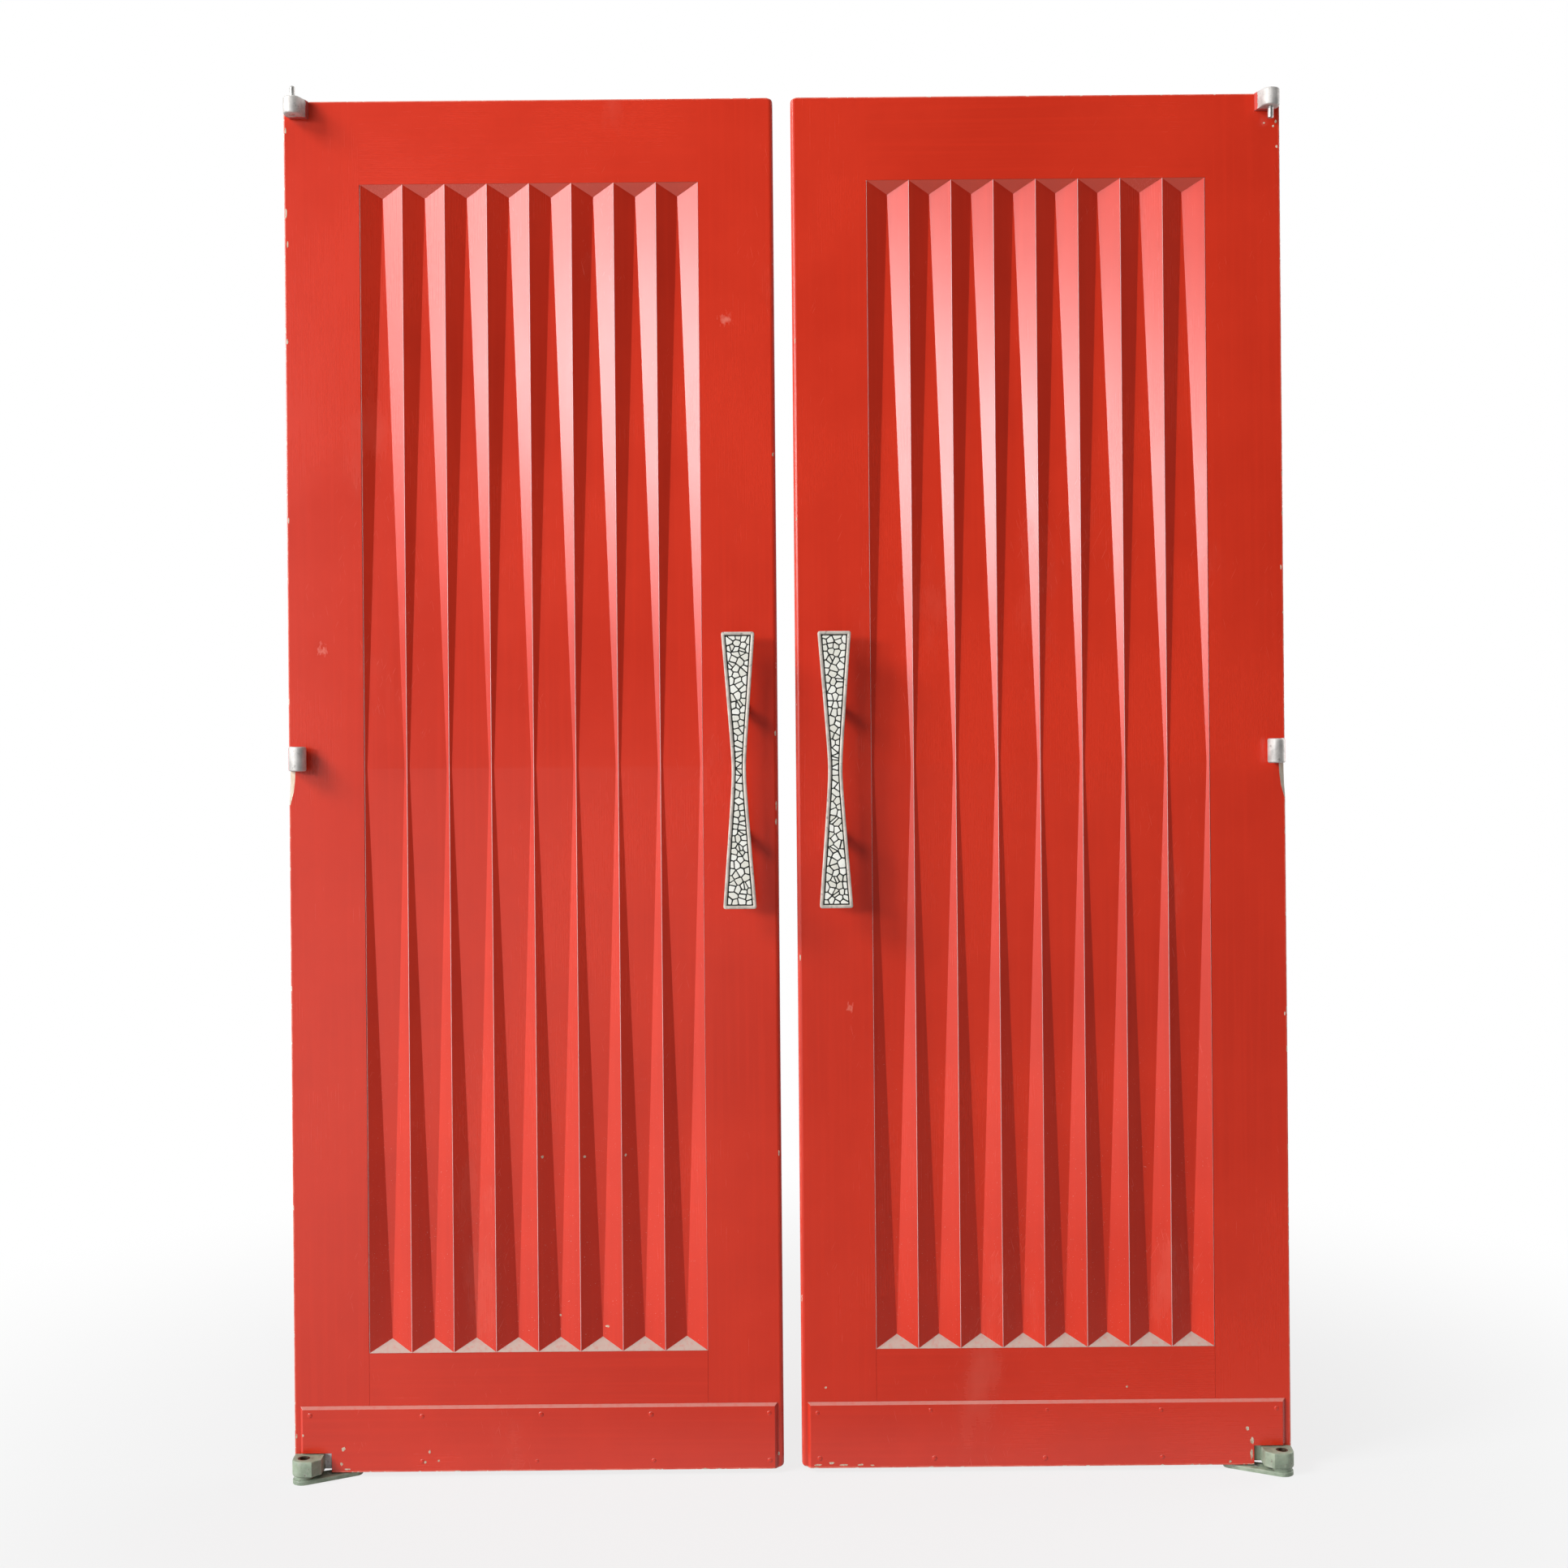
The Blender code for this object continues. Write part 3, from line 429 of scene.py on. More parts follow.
for leaf in leaves:
    nodes = [leaf + "_flute_stave_" + str(number) for number in range(1, staves + 1)]
    boxes = [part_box(node) for node in nodes]
    low_x = min(low.x for low, high in boxes)
    high_x = max(high.x for low, high in boxes)
    # The timber has shrunk away from the hinge stile, and the paint there has split.
    if leaf == "left":
        low_x += shrink_gap
    else:
        high_x -= shrink_gap
    pitch = (high_x - low_x) / staves
    one_flute = flute_front(low_x, pitch, boxes[0][0].z, boxes[0][1].z)
    mesh = grown(panel_tree, one_flute, Staves=staves, Pitch=pitch, Finish=upright_enamel)
    # The fronts are joined, closed at the back, and their ridges eased as sanding and paint leave them.
    panel = bmesh.new()
    panel.from_mesh(mesh)
    bmesh.ops.remove_doubles(panel, verts=panel.verts, dist=0.00005)
    rim = [edge for edge in panel.edges if edge.is_boundary]
    for corner in corners_in(bmesh.ops.extrude_edge_only(panel, edges=rim)["geom"]):
        corner.co.y = boxes[0][1].y
    bmesh.ops.edgeloop_fill(panel, edges=[edge for edge in panel.edges if edge.is_boundary])
    bmesh.ops.recalc_face_normals(panel, faces=panel.faces)
    ridges = [edge for edge in panel.edges if edge.is_convex and edge.calc_face_angle(0) > math.radians(8)
              and all(abs(corner.co.y - face_y) < ridge_band for corner in edge.verts)
              and abs(edge.verts[0].co.z - edge.verts[1].co.z) > least_ridge]
    round_over(panel, ridges, ridge_ease, 2)
    panel.to_mesh(mesh)
    panel.free()
    painted[leaf].append(as_piece(leaf + "_fluted_panel", mesh, leaf + "_leaf", "red_paint", *nodes))

# Back panels: plain boards that stand in a groove of the frame, behind the staves.
# They were brushed with the same enamel as the stiles, up and down.
for leaf in leaves:
    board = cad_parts[leaf + "_back_panel"]
    board.data.materials.clear()
    board.data.materials.append(upright_enamel)

# Kick boards: thin bevelled strips, nailed over the foot of each face and painted in.
# The nail heads show as small bumps, and the lower edge has lost paint to shoes and water.
kick_ease = 0.0005
nail_head_radius = 0.0036
nail_head_rise = 0.0009
nail_head_scales = (0.75, 1.15)
nails_across = 5
nail_seed = 40
nail_end_inset = 0.016
nail_edge_inset = 0.0145
nail_lift = 0.0001
stray_across, stray_up = 0.004, 0.002
notch_width, notch_height = 0.08, 0.04

nail_tree, nail_sizes = new_tree("nail_heads", Radius="Float", Rise="Float", Seed="Int", Finish="Material")
ball = {"Segments": 14, "Rings": 8, "Radius": nail_sizes["Radius"]}
flat = maths(nail_tree, "DIVIDE", nail_sizes["Rise"], nail_sizes["Radius"])
squash = result(nail_tree, "ShaderNodeCombineXYZ", {0: 1.0, 1: flat, 2: 1.0})
dome = {"Geometry": result(nail_tree, "GeometryNodeMeshUVSphere", ball), "Scale": squash}
dome = result(nail_tree, "GeometryNodeTransform", dome)
size = drawn(nail_tree, nail_sizes["Seed"], *nail_head_scales)
heads = {"Points": nail_sizes["Mesh"], "Instance": dome, "Scale": size}
heads = result(nail_tree, "GeometryNodeInstanceOnPoints", heads)
heads = result(nail_tree, "GeometryNodeSetShadeSmooth", {0: heads})
close_tree(nail_tree, heads, nail_sizes["Finish"])

for seed, leaf in enumerate(leaves):
    node = leaf + "_kick_board"
    board = merged_copy(node)
    arrises = [edge for edge in board.edges if edge.calc_face_angle(0) > math.radians(20)]
    round_over(board, arrises, kick_ease, 2)
    mesh = mesh_of(board, node + "_painted", level_enamel)
    painted[leaf].append(as_piece(node + "_painted", mesh, leaf + "_leaf", "red_paint", node))
    low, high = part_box(node)
    pick = random.Random(nail_seed + seed)
    spots = []
    for row_z in (high.z - nail_edge_inset, low.z + nail_edge_inset):
        for place in range(nails_across):
            share = place / (nails_across - 1)
            x = low.x + nail_end_inset + share * (high.x - low.x - 2 * nail_end_inset)
            notched = abs(x) > leaf_out - notch_width and row_z < low.z + notch_height
            if not notched:
                x += pick.uniform(-stray_across, stray_across)
                spots.append((x, low.y + nail_lift, row_z + pick.uniform(-stray_up, stray_up)))
    mesh = grown(nail_tree, plain_mesh("nail_spots", spots), Radius=nail_head_radius, Rise=nail_head_rise,
                 Seed=seed, Finish=level_enamel)
    as_piece(leaf + "_kick_nails", mesh, leaf + "_leaf", "red_paint")

# Flakes: places where knocks, boots and water have taken the paint off down to primer and wood.
# Each is given by its place across and up the pair, its width and its height, in millimetres.
flake_rise = 0.00012
flake_corners = 11
flake_ragged = (0.55, 1.0)
flake_seed = 31
flake_places = {
    "left": (
        (-773, 2097, 4, 12), (-773, 1968, 4, 20), (-771, 1920, 2.5, 15), (-773, 1768, 4, 10),
        (-773, 1490, 2.5, 11), (-773, 63, 3, 9), (-699, 44, 7, 8.5), (-702, 21, 5, 7), (-693, 13, 11, 3.5),
        (-762, 66, 3.5, 6), (-565, 39, 4.5, 7), (-572, 23, 5, 5), (-551, 25, 4.5, 4.5), (-387, 494, 5, 6),
        (-321, 494, 5, 6), (-257, 496, 5, 6), (-361, 244, 15, 3.5), (-288, 227, 10, 4.5), (-23, 30, 6, 7),
        (-18, 1586, 2.5, 9), (-18, 1152, 3.5, 11), (-17.5, 1040, 2.5, 20), (-18, 1014, 3.5, 11),
        (-18, 498, 2.5, 10)),
    "right": (
        (770, 2098, 5, 6), (766, 2091, 4.5, 4.5), (771, 2059, 4.5, 6), (752, 2096, 3.5, 3.5),
        (707, 64, 6, 8.5), (714, 45, 8, 13), (713, 24, 5, 20), (680, 13, 5, 5), (521, 129, 4.5, 4.5),
        (52, 132, 4.5, 4.5), (39, 13, 15, 3.5), (60, 16, 10, 4.5), (80, 13, 17, 3.5), (105, 13, 11, 3.5),
        (123, 12, 7.5, 2.5), (18, 1763, 2.5, 10), (18, 1485, 2.5, 7.5), (18, 802, 2.5, 11),
        (772, 1404, 2.5, 11), (772, 708, 2.5, 10)),
}


def bare_patch():
    """Primer and wood laid bare, dirty at the edges of the break."""
    made, tree, shader, place = new_finish("bare_patch")
    fibres = speckle(tree, place, 900, 4.0, (1, 1, 0.12))
    colour = mixed(tree, between(tree, fibres, 0.35, 0.65), bare_timber, (0.74, 0.63, 0.51, 1))
    grime = between(tree, speckle(tree, place, 420, 4.0), 0.50, 0.68, 0.0, 0.6)
    colour = mixed(tree, grime, colour, (0.30, 0.15, 0.10, 1))
    to_shader(tree, shader, colour, between(tree, fibres, 0.3, 0.7, 0.6, 0.8), fibres, 0.0002)
    return made


patch = bare_patch()
pick = random.Random(flake_seed)
for leaf in leaves:
    corners = []
    faces = []
    for piece in painted[leaf]:
        start = len(corners)
        corners += [corner.co for corner in piece.data.vertices]
        faces += [tuple(start + index for index in face.vertices) for face in piece.data.polygons]
    surface = BVHTree.FromPolygons(corners, faces)
    shape = bmesh.new()
    for across, up, width, height in flake_places[leaf]:
        spot, out = surface.ray_cast(Vector((across / 1000, -1, up / 1000)), Vector((0, 1, 0)))[:2]
        along = Vector((0, 0, 1)).cross(out).normalized()
        rise = out.cross(along)
        rim = []
        for step in range(flake_corners):
            turn = math.tau * step / flake_corners
            outward = along * (width * math.cos(turn)) + rise * (height * math.sin(turn))
            rim.append(spot + pick.uniform(*flake_ragged) / 2000 * outward)
        skin_over(shape, [[corner + out * lift for corner in rim] for lift in (-flake_rise, flake_rise)])
    mesh = mesh_of(shape, leaf + "_flakes", patch)
    as_piece(leaf + "_flakes", mesh, leaf + "_leaf", "red_paint")

# Top and middle pivots: aluminium castings, tumbled and left bare, let into the hinge stile.
# Their edges are soft, the skin is finely pitted and grime sits in the corners.
casting_ease = 0.0011
knuckle_crown = 0.0028
pivot_x = 0.757
pivot_y = -0.0194
past_bore_radius = 0.0115
bare_metallic = 0.75


def cast_aluminium(name, tone, warmth, grime, smears=0.0):
    """Dull cast metal; smears is how much red paint has strayed on to it beside the door's face."""
    made, tree, shader, place = new_finish(name)
    pits = speckle(tree, place, 900, 2.0)
    cloud = speckle(tree, place, 70, 4.0)
    rubs = speckle(tree, place, 260, 3.0, (1, 1, 0.12))
    bright = (tone * (1 + warmth), tone, tone * (1 - warmth), 1)
    dull = tuple(part * 0.74 for part in bright[:3]) + (1,)
    colour = mixed(tree, between(tree, cloud, 0.30, 0.62), dull, bright)
    soiled = times(tree, between(tree, speckle(tree, place, 140, 5.0), 0.56, 0.74), grime)
    colour = mixed(tree, soiled, colour, (0.10, 0.09, 0.075, 1))
    shader.inputs["Metallic"].default_value = bare_metallic
    if smears:
        depth = axes_of(tree, place)[1]
        ragged = more(tree, depth, speckle(tree, place, 190, 4.0), 0.012)
        strayed = between(tree, ragged, face_y - 0.0035, face_y - 0.0025, 0.0, smears)
        colour = mixed(tree, strayed, colour, enamel_deep)
        metallic = maths(tree, "MULTIPLY_ADD", strayed, -bare_metallic, bare_metallic)
        tree.links.new(metallic, shader.inputs["Metallic"])
    rough = between(tree, rubs, 0.3, 0.7, 0.64, 0.78)
    rough = more(tree, rough, soiled, 0.2)
    height = more(tree, times(tree, pits, 0.06), cloud, 0.06)
    to_shader(tree, shader, colour, rough, height)
    return made


def eased_copy(node, ease, finish, body, slot, suffix, crown=0.0, levels=None, before=face_y - 0.003):
    """A CAD solid with its edges rounded; crown rounds its rims at given levels, before the door's face."""
    shape = merged_copy(node)
    levels = levels or [corner.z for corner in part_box(node)]
    rims = []
    for edge in shape.edges:
        ends = [corner.co for corner in edge.verts]
        in_front = all(end.y < before for end in ends)
        from_axis = [math.hypot(abs(end.x) - pivot_x, end.y - pivot_y) for end in ends]
        on_rim = any(all(abs(end.z - level) < 0.0001 for end in ends) for level in levels)
        sharp = edge.is_convex and edge.calc_face_angle(0) > math.radians(20)
        if in_front and min(from_axis) > past_bore_radius and on_rim and sharp:
            rims.append(edge)
    if crown:
        round_over(shape, rims, crown, 4)
    mesh = mesh_of(shape, node + suffix)
    mesh.shade_smooth()
    mesh.set_sharp_from_angle(angle=math.radians(30))
    holder = put(node + suffix, mesh)
    rounding = holder.modifiers.new("rounding", "BEVEL")
    rounding.width = ease
    rounding.segments = 3
    rounding.limit_method = "ANGLE"
    rounding.angle_limit = math.radians(32)
    rounding.harden_normals = True
    rounded = applied(holder)
    rounded.materials.clear()
    rounded.materials.append(finish)
    return as_piece(node + suffix, rounded, body, slot, node)


pivot_aluminium = cast_aluminium("pivot_aluminium", 0.63, 0.04, 0.5, 0.9)
for leaf in leaves:
    for part in ("_top_pivot_arm", "_mid_pivot"):
        eased_copy(leaf + part, casting_ease, pivot_aluminium, leaf + "_leaf", "cast_aluminium", "_cast",
                   knuckle_crown)

# Pivot pins, floor spindles and bushes: turned steel running in bronze sleeves.
# The steel is dull with rub marks round it and the pins' ends are domed. The bronze is brown with old oil.
turned_ease = 0.0005
pin_ease = 0.0016


def turned_metal(name, bright, dull, stain):
    made, tree, shader, place = new_finish(name)
    rings = speckle(tree, place, 60, 3.0, (1, 1, 40))
    cloud = speckle(tree, place, 120, 4.0)
    colour = mixed(tree, between(tree, cloud, 0.32, 0.66), dull, bright)
    spotted = between(tree, speckle(tree, place, 330, 4.0), 0.60, 0.72, 0.0, 0.7)
    colour = mixed(tree, spotted, colour, stain)
    rough = between(tree, rings, 0.3, 0.7, 0.46, 0.62)
    rough = more(tree, rough, spotted, 0.25)
    to_shader(tree, shader, colour, rough, rings, 0.00006)
    shader.inputs["Metallic"].default_value = 1.0
    return made


pin_steel = turned_metal("pin_steel", (0.62, 0.61, 0.59, 1), (0.40, 0.39, 0.37, 1), (0.16, 0.09, 0.05, 1))
sleeve_bronze = turned_metal("sleeve_bronze", (0.17, 0.13, 0.09, 1), (0.08, 0.06, 0.045, 1),
                             (0.03, 0.025, 0.02, 1))
for leaf in leaves:
    eased_copy(leaf + "_top_pivot_pin", pin_ease, pin_steel, leaf + "_top_pin", "steel", "_turned")
    eased_copy(leaf + "_floor_spindle", turned_ease, pin_steel, "floor_pivots", "steel", "_turned")
    for bush in ("_mid_pivot_bush", "_bottom_pivot_bush"):
        eased_copy(leaf + bush, turned_ease, sleeve_bronze, leaf + "_leaf", "bronze", "_turned")

# Bottom pivots and floor plates: iron castings under grey-green paint, scuffed through at the edges.
# The arm is let into the foot of the hinge stile, and the plate under it is screwed to the floor.
iron_ease = 0.0010
iron_crown = 0.0022
plate_crown = iron_crown * 0.7
plate_top_z = 0.0063
tail_start = 0.0275


def grey_green_paint():
    made, tree, shader, place = new_finish("grey_green_paint_worn")
    skin = speckle(tree, place, 300, 4.0)
    cloud = speckle(tree, place, 45, 4.0)
    colour = mixed(tree, between(tree, cloud, 0.3, 0.7), (0.21, 0.26, 0.19, 1), (0.34, 0.41, 0.30, 1))
    dusty = between(tree, speckle(tree, place, 110, 5.0), 0.52, 0.72, 0.0, 0.5)
    colour = mixed(tree, dusty, colour, (0.45, 0.46, 0.40, 1))
    chipped = between(tree, speckle(tree, place, 160, 6.0), 0.655, 0.68)
    colour = mixed(tree, chipped, colour, (0.16, 0.13, 0.11, 1))
    rough = more(tree, between(tree, cloud, 0.3, 0.7, 0.42, 0.58), dusty, 0.2)
    height = more(tree, times(tree, skin, 0.16), chipped, -0.12)
    to_shader(tree, shader, colour, rough, height)
    return made


casting_paint = grey_green_paint()
scraped_iron = cast_aluminium("scraped_iron", 0.74, 0.0, 0.4)
for leaf in leaves:
    arm = eased_copy(leaf + "_bottom_pivot_arm", iron_ease, casting_paint, leaf + "_leaf", "grey_green_paint",
                     "_cast", iron_crown)
    # The left tail has been scraped bare where the kick board was cut round it.
    if leaf == "left":
        arm.data.materials.append(scraped_iron)
        for face in arm.data.polygons:
            if pivot_x - abs(face.center.x) > tail_start and face.normal.y < -0.5:
                face.material_index = 1
    eased_copy(leaf + "_floor_plate", iron_ease, casting_paint, "floor_pivots", "grey_green_paint", "_cast",
               plate_crown, (plate_top_z,), back_y)

# Wood screws: slotted countersunk heads in the let-in plates, the edge plates and the floor plates.
# Each was driven home by hand, so the slots point every way.
screw_radius = 0.0042
screw_slot_width = 0.0011
screw_slot_depth = 0.0011
screw_rise = 0.0004
screw_seat = 0.0012
screw_steps = 9
arm_reaches, arm_depth, arm_sink = (0.036, 0.056, 0.076), 0.018, 0.0005
edge_depths, edge_z, edge_sink = (0.012, 0.027), 1.118, 0.0006
plate_shares, plate_reach, plate_before, plate_back = (0.5, 0.9), 0.072, 0.019, 0.031


def screw_head():
    """One slotted head, two half discs that rise on either side of a slot, facing +Z."""
    shape = bmesh.new()
    half = screw_slot_width / 2
    start = math.asin(half / screw_radius)
    slot_floor = screw_rise - screw_slot_depth
    tops, feet, floors = [], [], []
    for way in (1, -1):
        turns = [start + (math.pi - 2 * start) * step / screw_steps for step in range(screw_steps + 1)]
        rim = [(screw_radius * math.cos(turn), way * screw_radius * math.sin(turn)) for turn in turns]
        tops.append([shape.verts.new((x, y, screw_rise)) for x, y in rim])
        feet.append([shape.verts.new((x, y, -screw_seat)) for x, y in rim])
        floors.append([shape.verts.new(rim[end] + (slot_floor,)) for end in (0, -1)])
    for top, foot, floor in zip(tops, feet, floors):
        shape.faces.new(top)
        shape.faces.new((top[-1], top[0], floor[0], floor[1]))
        for step in range(screw_steps):
            wall = [top[step], foot[step], foot[step + 1], top[step + 1]]
            if step == 0:
                wall.insert(1, floor[0])
            if step == screw_steps - 1:
                wall.insert(-1, floor[1])
            shape.faces.new(wall)
    shape.faces.new((floors[0][0], floors[0][1], floors[1][1], floors[1][0]))
    for end in (0, -1):
        shape.faces.new((floors[0][end], feet[0][end], feet[1][end], floors[1][end]))
    shape.faces.new(feet[0] + list(reversed(feet[1])))
    bmesh.ops.recalc_face_normals(shape, faces=shape.faces)
    return mesh_of(shape, "screw_head")


screw_tree, screw_sizes = new_tree("wood_screws", Head="Object", Seed="Int", Finish="Material")
head = add(screw_tree, "GeometryNodeObjectInfo", {"Object": screw_sizes["Head"]}).outputs["Geometry"]
facing = result(screw_tree, "GeometryNodeInputNamedAttribute", {"Name": "facing"}, data_type="FLOAT_VECTOR")
upright = result(screw_tree, "FunctionNodeAlignRotationToVector", {"Vector": facing}, axis="Z")
turn = drawn(screw_tree, screw_sizes["Seed"], 0, math.tau)
spin = result(screw_tree, "FunctionNodeAxisAngleToRotation", {"Axis": (0, 0, 1), "Angle": turn})
spin = result(screw_tree, "FunctionNodeRotateRotation", {0: upright, 1: spin}, rotation_space="LOCAL")
driven = {"Points": screw_sizes["Mesh"], "Instance": head, "Rotation": spin}
driven = result(screw_tree, "GeometryNodeInstanceOnPoints", driven)
close_tree(screw_tree, driven, screw_sizes["Finish"])

head_pattern = put("screw_head", screw_head())
for seed, leaf in enumerate(leaves):
    way = -1 if leaf == "left" else 1
    pivot = way * pivot_x
    upward, outward = (0, 0, 1), (way, 0, 0)
    arm_screws = [((pivot - way * reach, face_y + arm_depth, head_z - arm_sink), upward)
                  for reach in arm_reaches]
    edge_screws = [((way * (leaf_out - edge_sink), face_y + depth, edge_z), outward) for depth in edge_depths]
    floor_screws = []
    for share in plate_shares:
        depth = face_y - plate_before + plate_back * share
        floor_screws.append(((pivot - way * plate_reach * share, depth, plate_top_z), upward))
    for group, body, screws in (("leaf_screws", leaf + "_leaf", arm_screws + edge_screws),
                                ("floor_screws", "floor_pivots", floor_screws)):
        points = plain_mesh(group, [place for place, out in screws])
        out_way = points.attributes.new("facing", "FLOAT_VECTOR", "POINT")
        for index, (place, out) in enumerate(screws):
            out_way.data[index].vector = out
        mesh = grown(screw_tree, points, Head=head_pattern, Seed=seed, Finish=pin_steel)
        as_piece(leaf + "_" + group, mesh, body, "steel")
bpy.data.objects.remove(head_pattern)

# Pulls: shallow cast trays that narrow to a waist, rubbed bright on the rim by hands.
# Each stands off the door on two round posts, with bolts that come through from the back.
tray_half_height = 0.2125
tray_end_half = 0.02575
tray_waist_half = 0.011
tray_waist_softness = 0.025
tray_corner = 0.0036
tray_rim = 0.005
tray_recess = 0.0035
tray_edge = 0.0011
tray_side_steps = 48
tray_corner_steps = 6
least_corner = 0.0006


def tray_half(up):
    """Half a tray's width at a height above or below its waist."""
    bow = math.hypot(up, tray_waist_softness) - tray_waist_softness
    whole = math.hypot(tray_half_height, tray_waist_softness) - tray_waist_softness
    return tray_waist_half + (tray_end_half - tray_waist_half) * bow / whole


def tray_outline(inset, centre, depth):
    """The outline of a tray at one depth: two bowed sides with rounded corners."""
    corner = max(tray_corner - inset, least_corner)
    top = tray_half_height - inset
    heights = [(top - corner) * (2 * step / tray_side_steps - 1) for step in range(tray_side_steps + 1)]
    side = [(tray_half(up) - inset, up) for up in heights]
    turns = [math.radians(90 * step / tray_corner_steps) for step in range(1, tray_corner_steps + 1)]
    last = tray_half(top - corner) - inset - corner
    round_in = [(last + corner * math.cos(turn), top - corner + corner * math.sin(turn)) for turn in turns]
    right = [(a, -b) for a, b in reversed(round_in)] + side + round_in
    loop = right + [(-a, -b) for a, b in right]
    return [Vector((centre.x + a, depth, centre.z + b)) for a, b in loop]


tray_aluminium = cast_aluminium("tray_aluminium", 0.66, 0.10, 0.6)
for leaf in leaves:
    low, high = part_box(leaf + "_pull_tray")
    centre = (low + high) / 2
    depths = [(tray_edge, high.y), (tray_edge * 0.3, high.y - tray_edge * 0.3), (0, high.y - tray_edge),
              (0, low.y + tray_edge), (tray_edge * 0.3, low.y + tray_edge * 0.3), (tray_edge, low.y),
              (tray_rim - tray_edge * 0.6, low.y), (tray_rim - tray_edge * 0.15, low.y + tray_edge * 0.3),
              (tray_rim, low.y + tray_edge * 0.8), (tray_rim, low.y + tray_recess)]
    shape = bmesh.new()
    skin_over(shape, [tray_outline(inset, centre, depth) for inset, depth in depths])
    mesh = mesh_of(shape, leaf + "_pull_tray_cast", tray_aluminium)
    mesh.shade_smooth()
    mesh.set_sharp_from_angle(angle=math.radians(40))
    as_piece(leaf + "_pull_tray_cast", mesh, leaf + "_leaf", "cast_aluminium", leaf + "_pull_tray")
    for end in ("upper", "lower"):
        eased_copy(leaf + "_pull_post_" + end, turned_ease, tray_aluminium, leaf + "_leaf", "cast_aluminium",
                   "_turned")
        eased_copy(leaf + "_pull_bolt_" + end, turned_ease, pin_steel, leaf + "_leaf", "steel", "_turned")

# Mosaic in the pulls: pale stone broken with a hammer, pressed piece by piece into dark grout.
# Every piece has its own outline, tone and height, and its edges are a little rubbed.
chip_spacings = ((0.0056, 110), (0.0080, 4000))
chip_joint = 0.0019
chip_edge = tray_rim + 0.0019
chip_reach = 0.014
least_chip = 0.000020
split_share = 0.25
corner_stray = 0.0003
corner_cut = 0.10
chip_height = 0.0009
chip_sink = 0.0005
chip_ease_rise = 0.00025
chip_ease_scale = 0.93
chip_face_drop = 0.0002
grout_depth = 0.0013
chip_seed, tone_seed = 3, 7


def chip_spots(pick):
    """Where the pieces were set, from the middle of the tray: some crowded together, then the gaps filled."""
    spots = []
    for spacing, tries in chip_spacings:
        for _ in range(tries):
            across = pick.uniform(-tray_end_half, tray_end_half)
            up = pick.uniform(chip_edge - tray_half_height, tray_half_height - chip_edge)
            spot = Vector((across, 0, up))
            inside = abs(across) < tray_half(up) - chip_edge
            if inside and all((spot - other).length > spacing for other in spots):
                spots.append(spot)
    return spots


def one_side(outline, point, way):
    """The part of a convex outline on one side of a line, short of it by half a joint."""
    kept = []
    for place, here in enumerate(outline):
        before = outline[place - 1]
        gaps = [(corner - point).dot(way) + chip_joint / 2 for corner in (before, here)]
        if (gaps[0] > 0) != (gaps[1] > 0):
            kept.append(before.lerp(here, gaps[0] / (gaps[0] - gaps[1])))
        if gaps[1] <= 0:
            kept.append(here)
    return kept


def area_of(outline):
    pairs = zip(outline, outline[1:] + outline[:1])
    return abs(sum(here.x * after.z - after.x * here.z for here, after in pairs)) / 2


def chip_outlines(pick):
    """Each piece covers the ground nearest to its spot, its corners just cut; a few are cracked."""
    top = tray_half_height - chip_edge
    spots = chip_spots(pick)
    whole = []
    for spot in spots:
        low, high = max(spot.z - chip_reach, -top), min(spot.z + chip_reach, top)
        foot, head = tray_half(low) - chip_edge, tray_half(high) - chip_edge
        strip = ((-foot, 0, low), (foot, 0, low), (head, 0, high), (-head, 0, high))
        outline = [Vector(corner) for corner in strip]
        for other in spots:
            if other is not spot:
                outline = one_side(outline, (spot + other) / 2, (other - spot).normalized())
        for corner in outline:
            across, up = (pick.uniform(-corner_stray, corner_stray) for _ in range(2))
            corner += Vector((across, 0, up))
        middle = sum(outline, Vector()) / len(outline)
        crack = (pick.choice(outline) - middle).normalized()
        way = Vector((crack.z, 0, -crack.x))
        halves = [one_side(outline, middle, way), one_side(outline, middle, -way)]
        cracked = pick.random() < split_share and min(area_of(half) for half in halves) > least_chip
        whole += halves if cracked else [outline]
    outlines = []
    for corners in whole:
        cut = []
        for place, corner in enumerate(corners):
            cut.append(corner.lerp(corners[place - 1], corner_cut))
            cut.append(corner.lerp(corners[(place + 1) % len(corners)], corner_cut))
        outlines.append(cut)
    return outlines


def pale_stone():
    made, tree, shader, place = new_finish("pale_stone")
    tone = add(tree, "ShaderNodeAttribute", attribute_name="chip_tone").outputs["Fac"]
    veins = speckle(tree, place, 260, 5.0)
    colour = mixed(tree, between(tree, tone, 0.1, 0.9), (0.80, 0.78, 0.69, 1), (0.93, 0.92, 0.85, 1))
    stained = times(tree, between(tree, veins, 0.54, 0.74), 0.28)
    colour = mixed(tree, stained, colour, (0.50, 0.47, 0.40, 1))
    rough = between(tree, veins, 0.3, 0.7, 0.34, 0.5)
    to_shader(tree, shader, colour, rough, veins, 0.0001)
    return made


def dark_grout():
    made, tree, shader, place = new_finish("dark_grout")
    grit = speckle(tree, place, 1100, 4.0)
    colour = mixed(tree, between(tree, grit, 0.35, 0.7), (0.006, 0.008, 0.006, 1), (0.022, 0.026, 0.021, 1))
    to_shader(tree, shader, colour, between(tree, grit, 0.3, 0.7, 0.65, 0.9), grit, 0.0005)
    return made


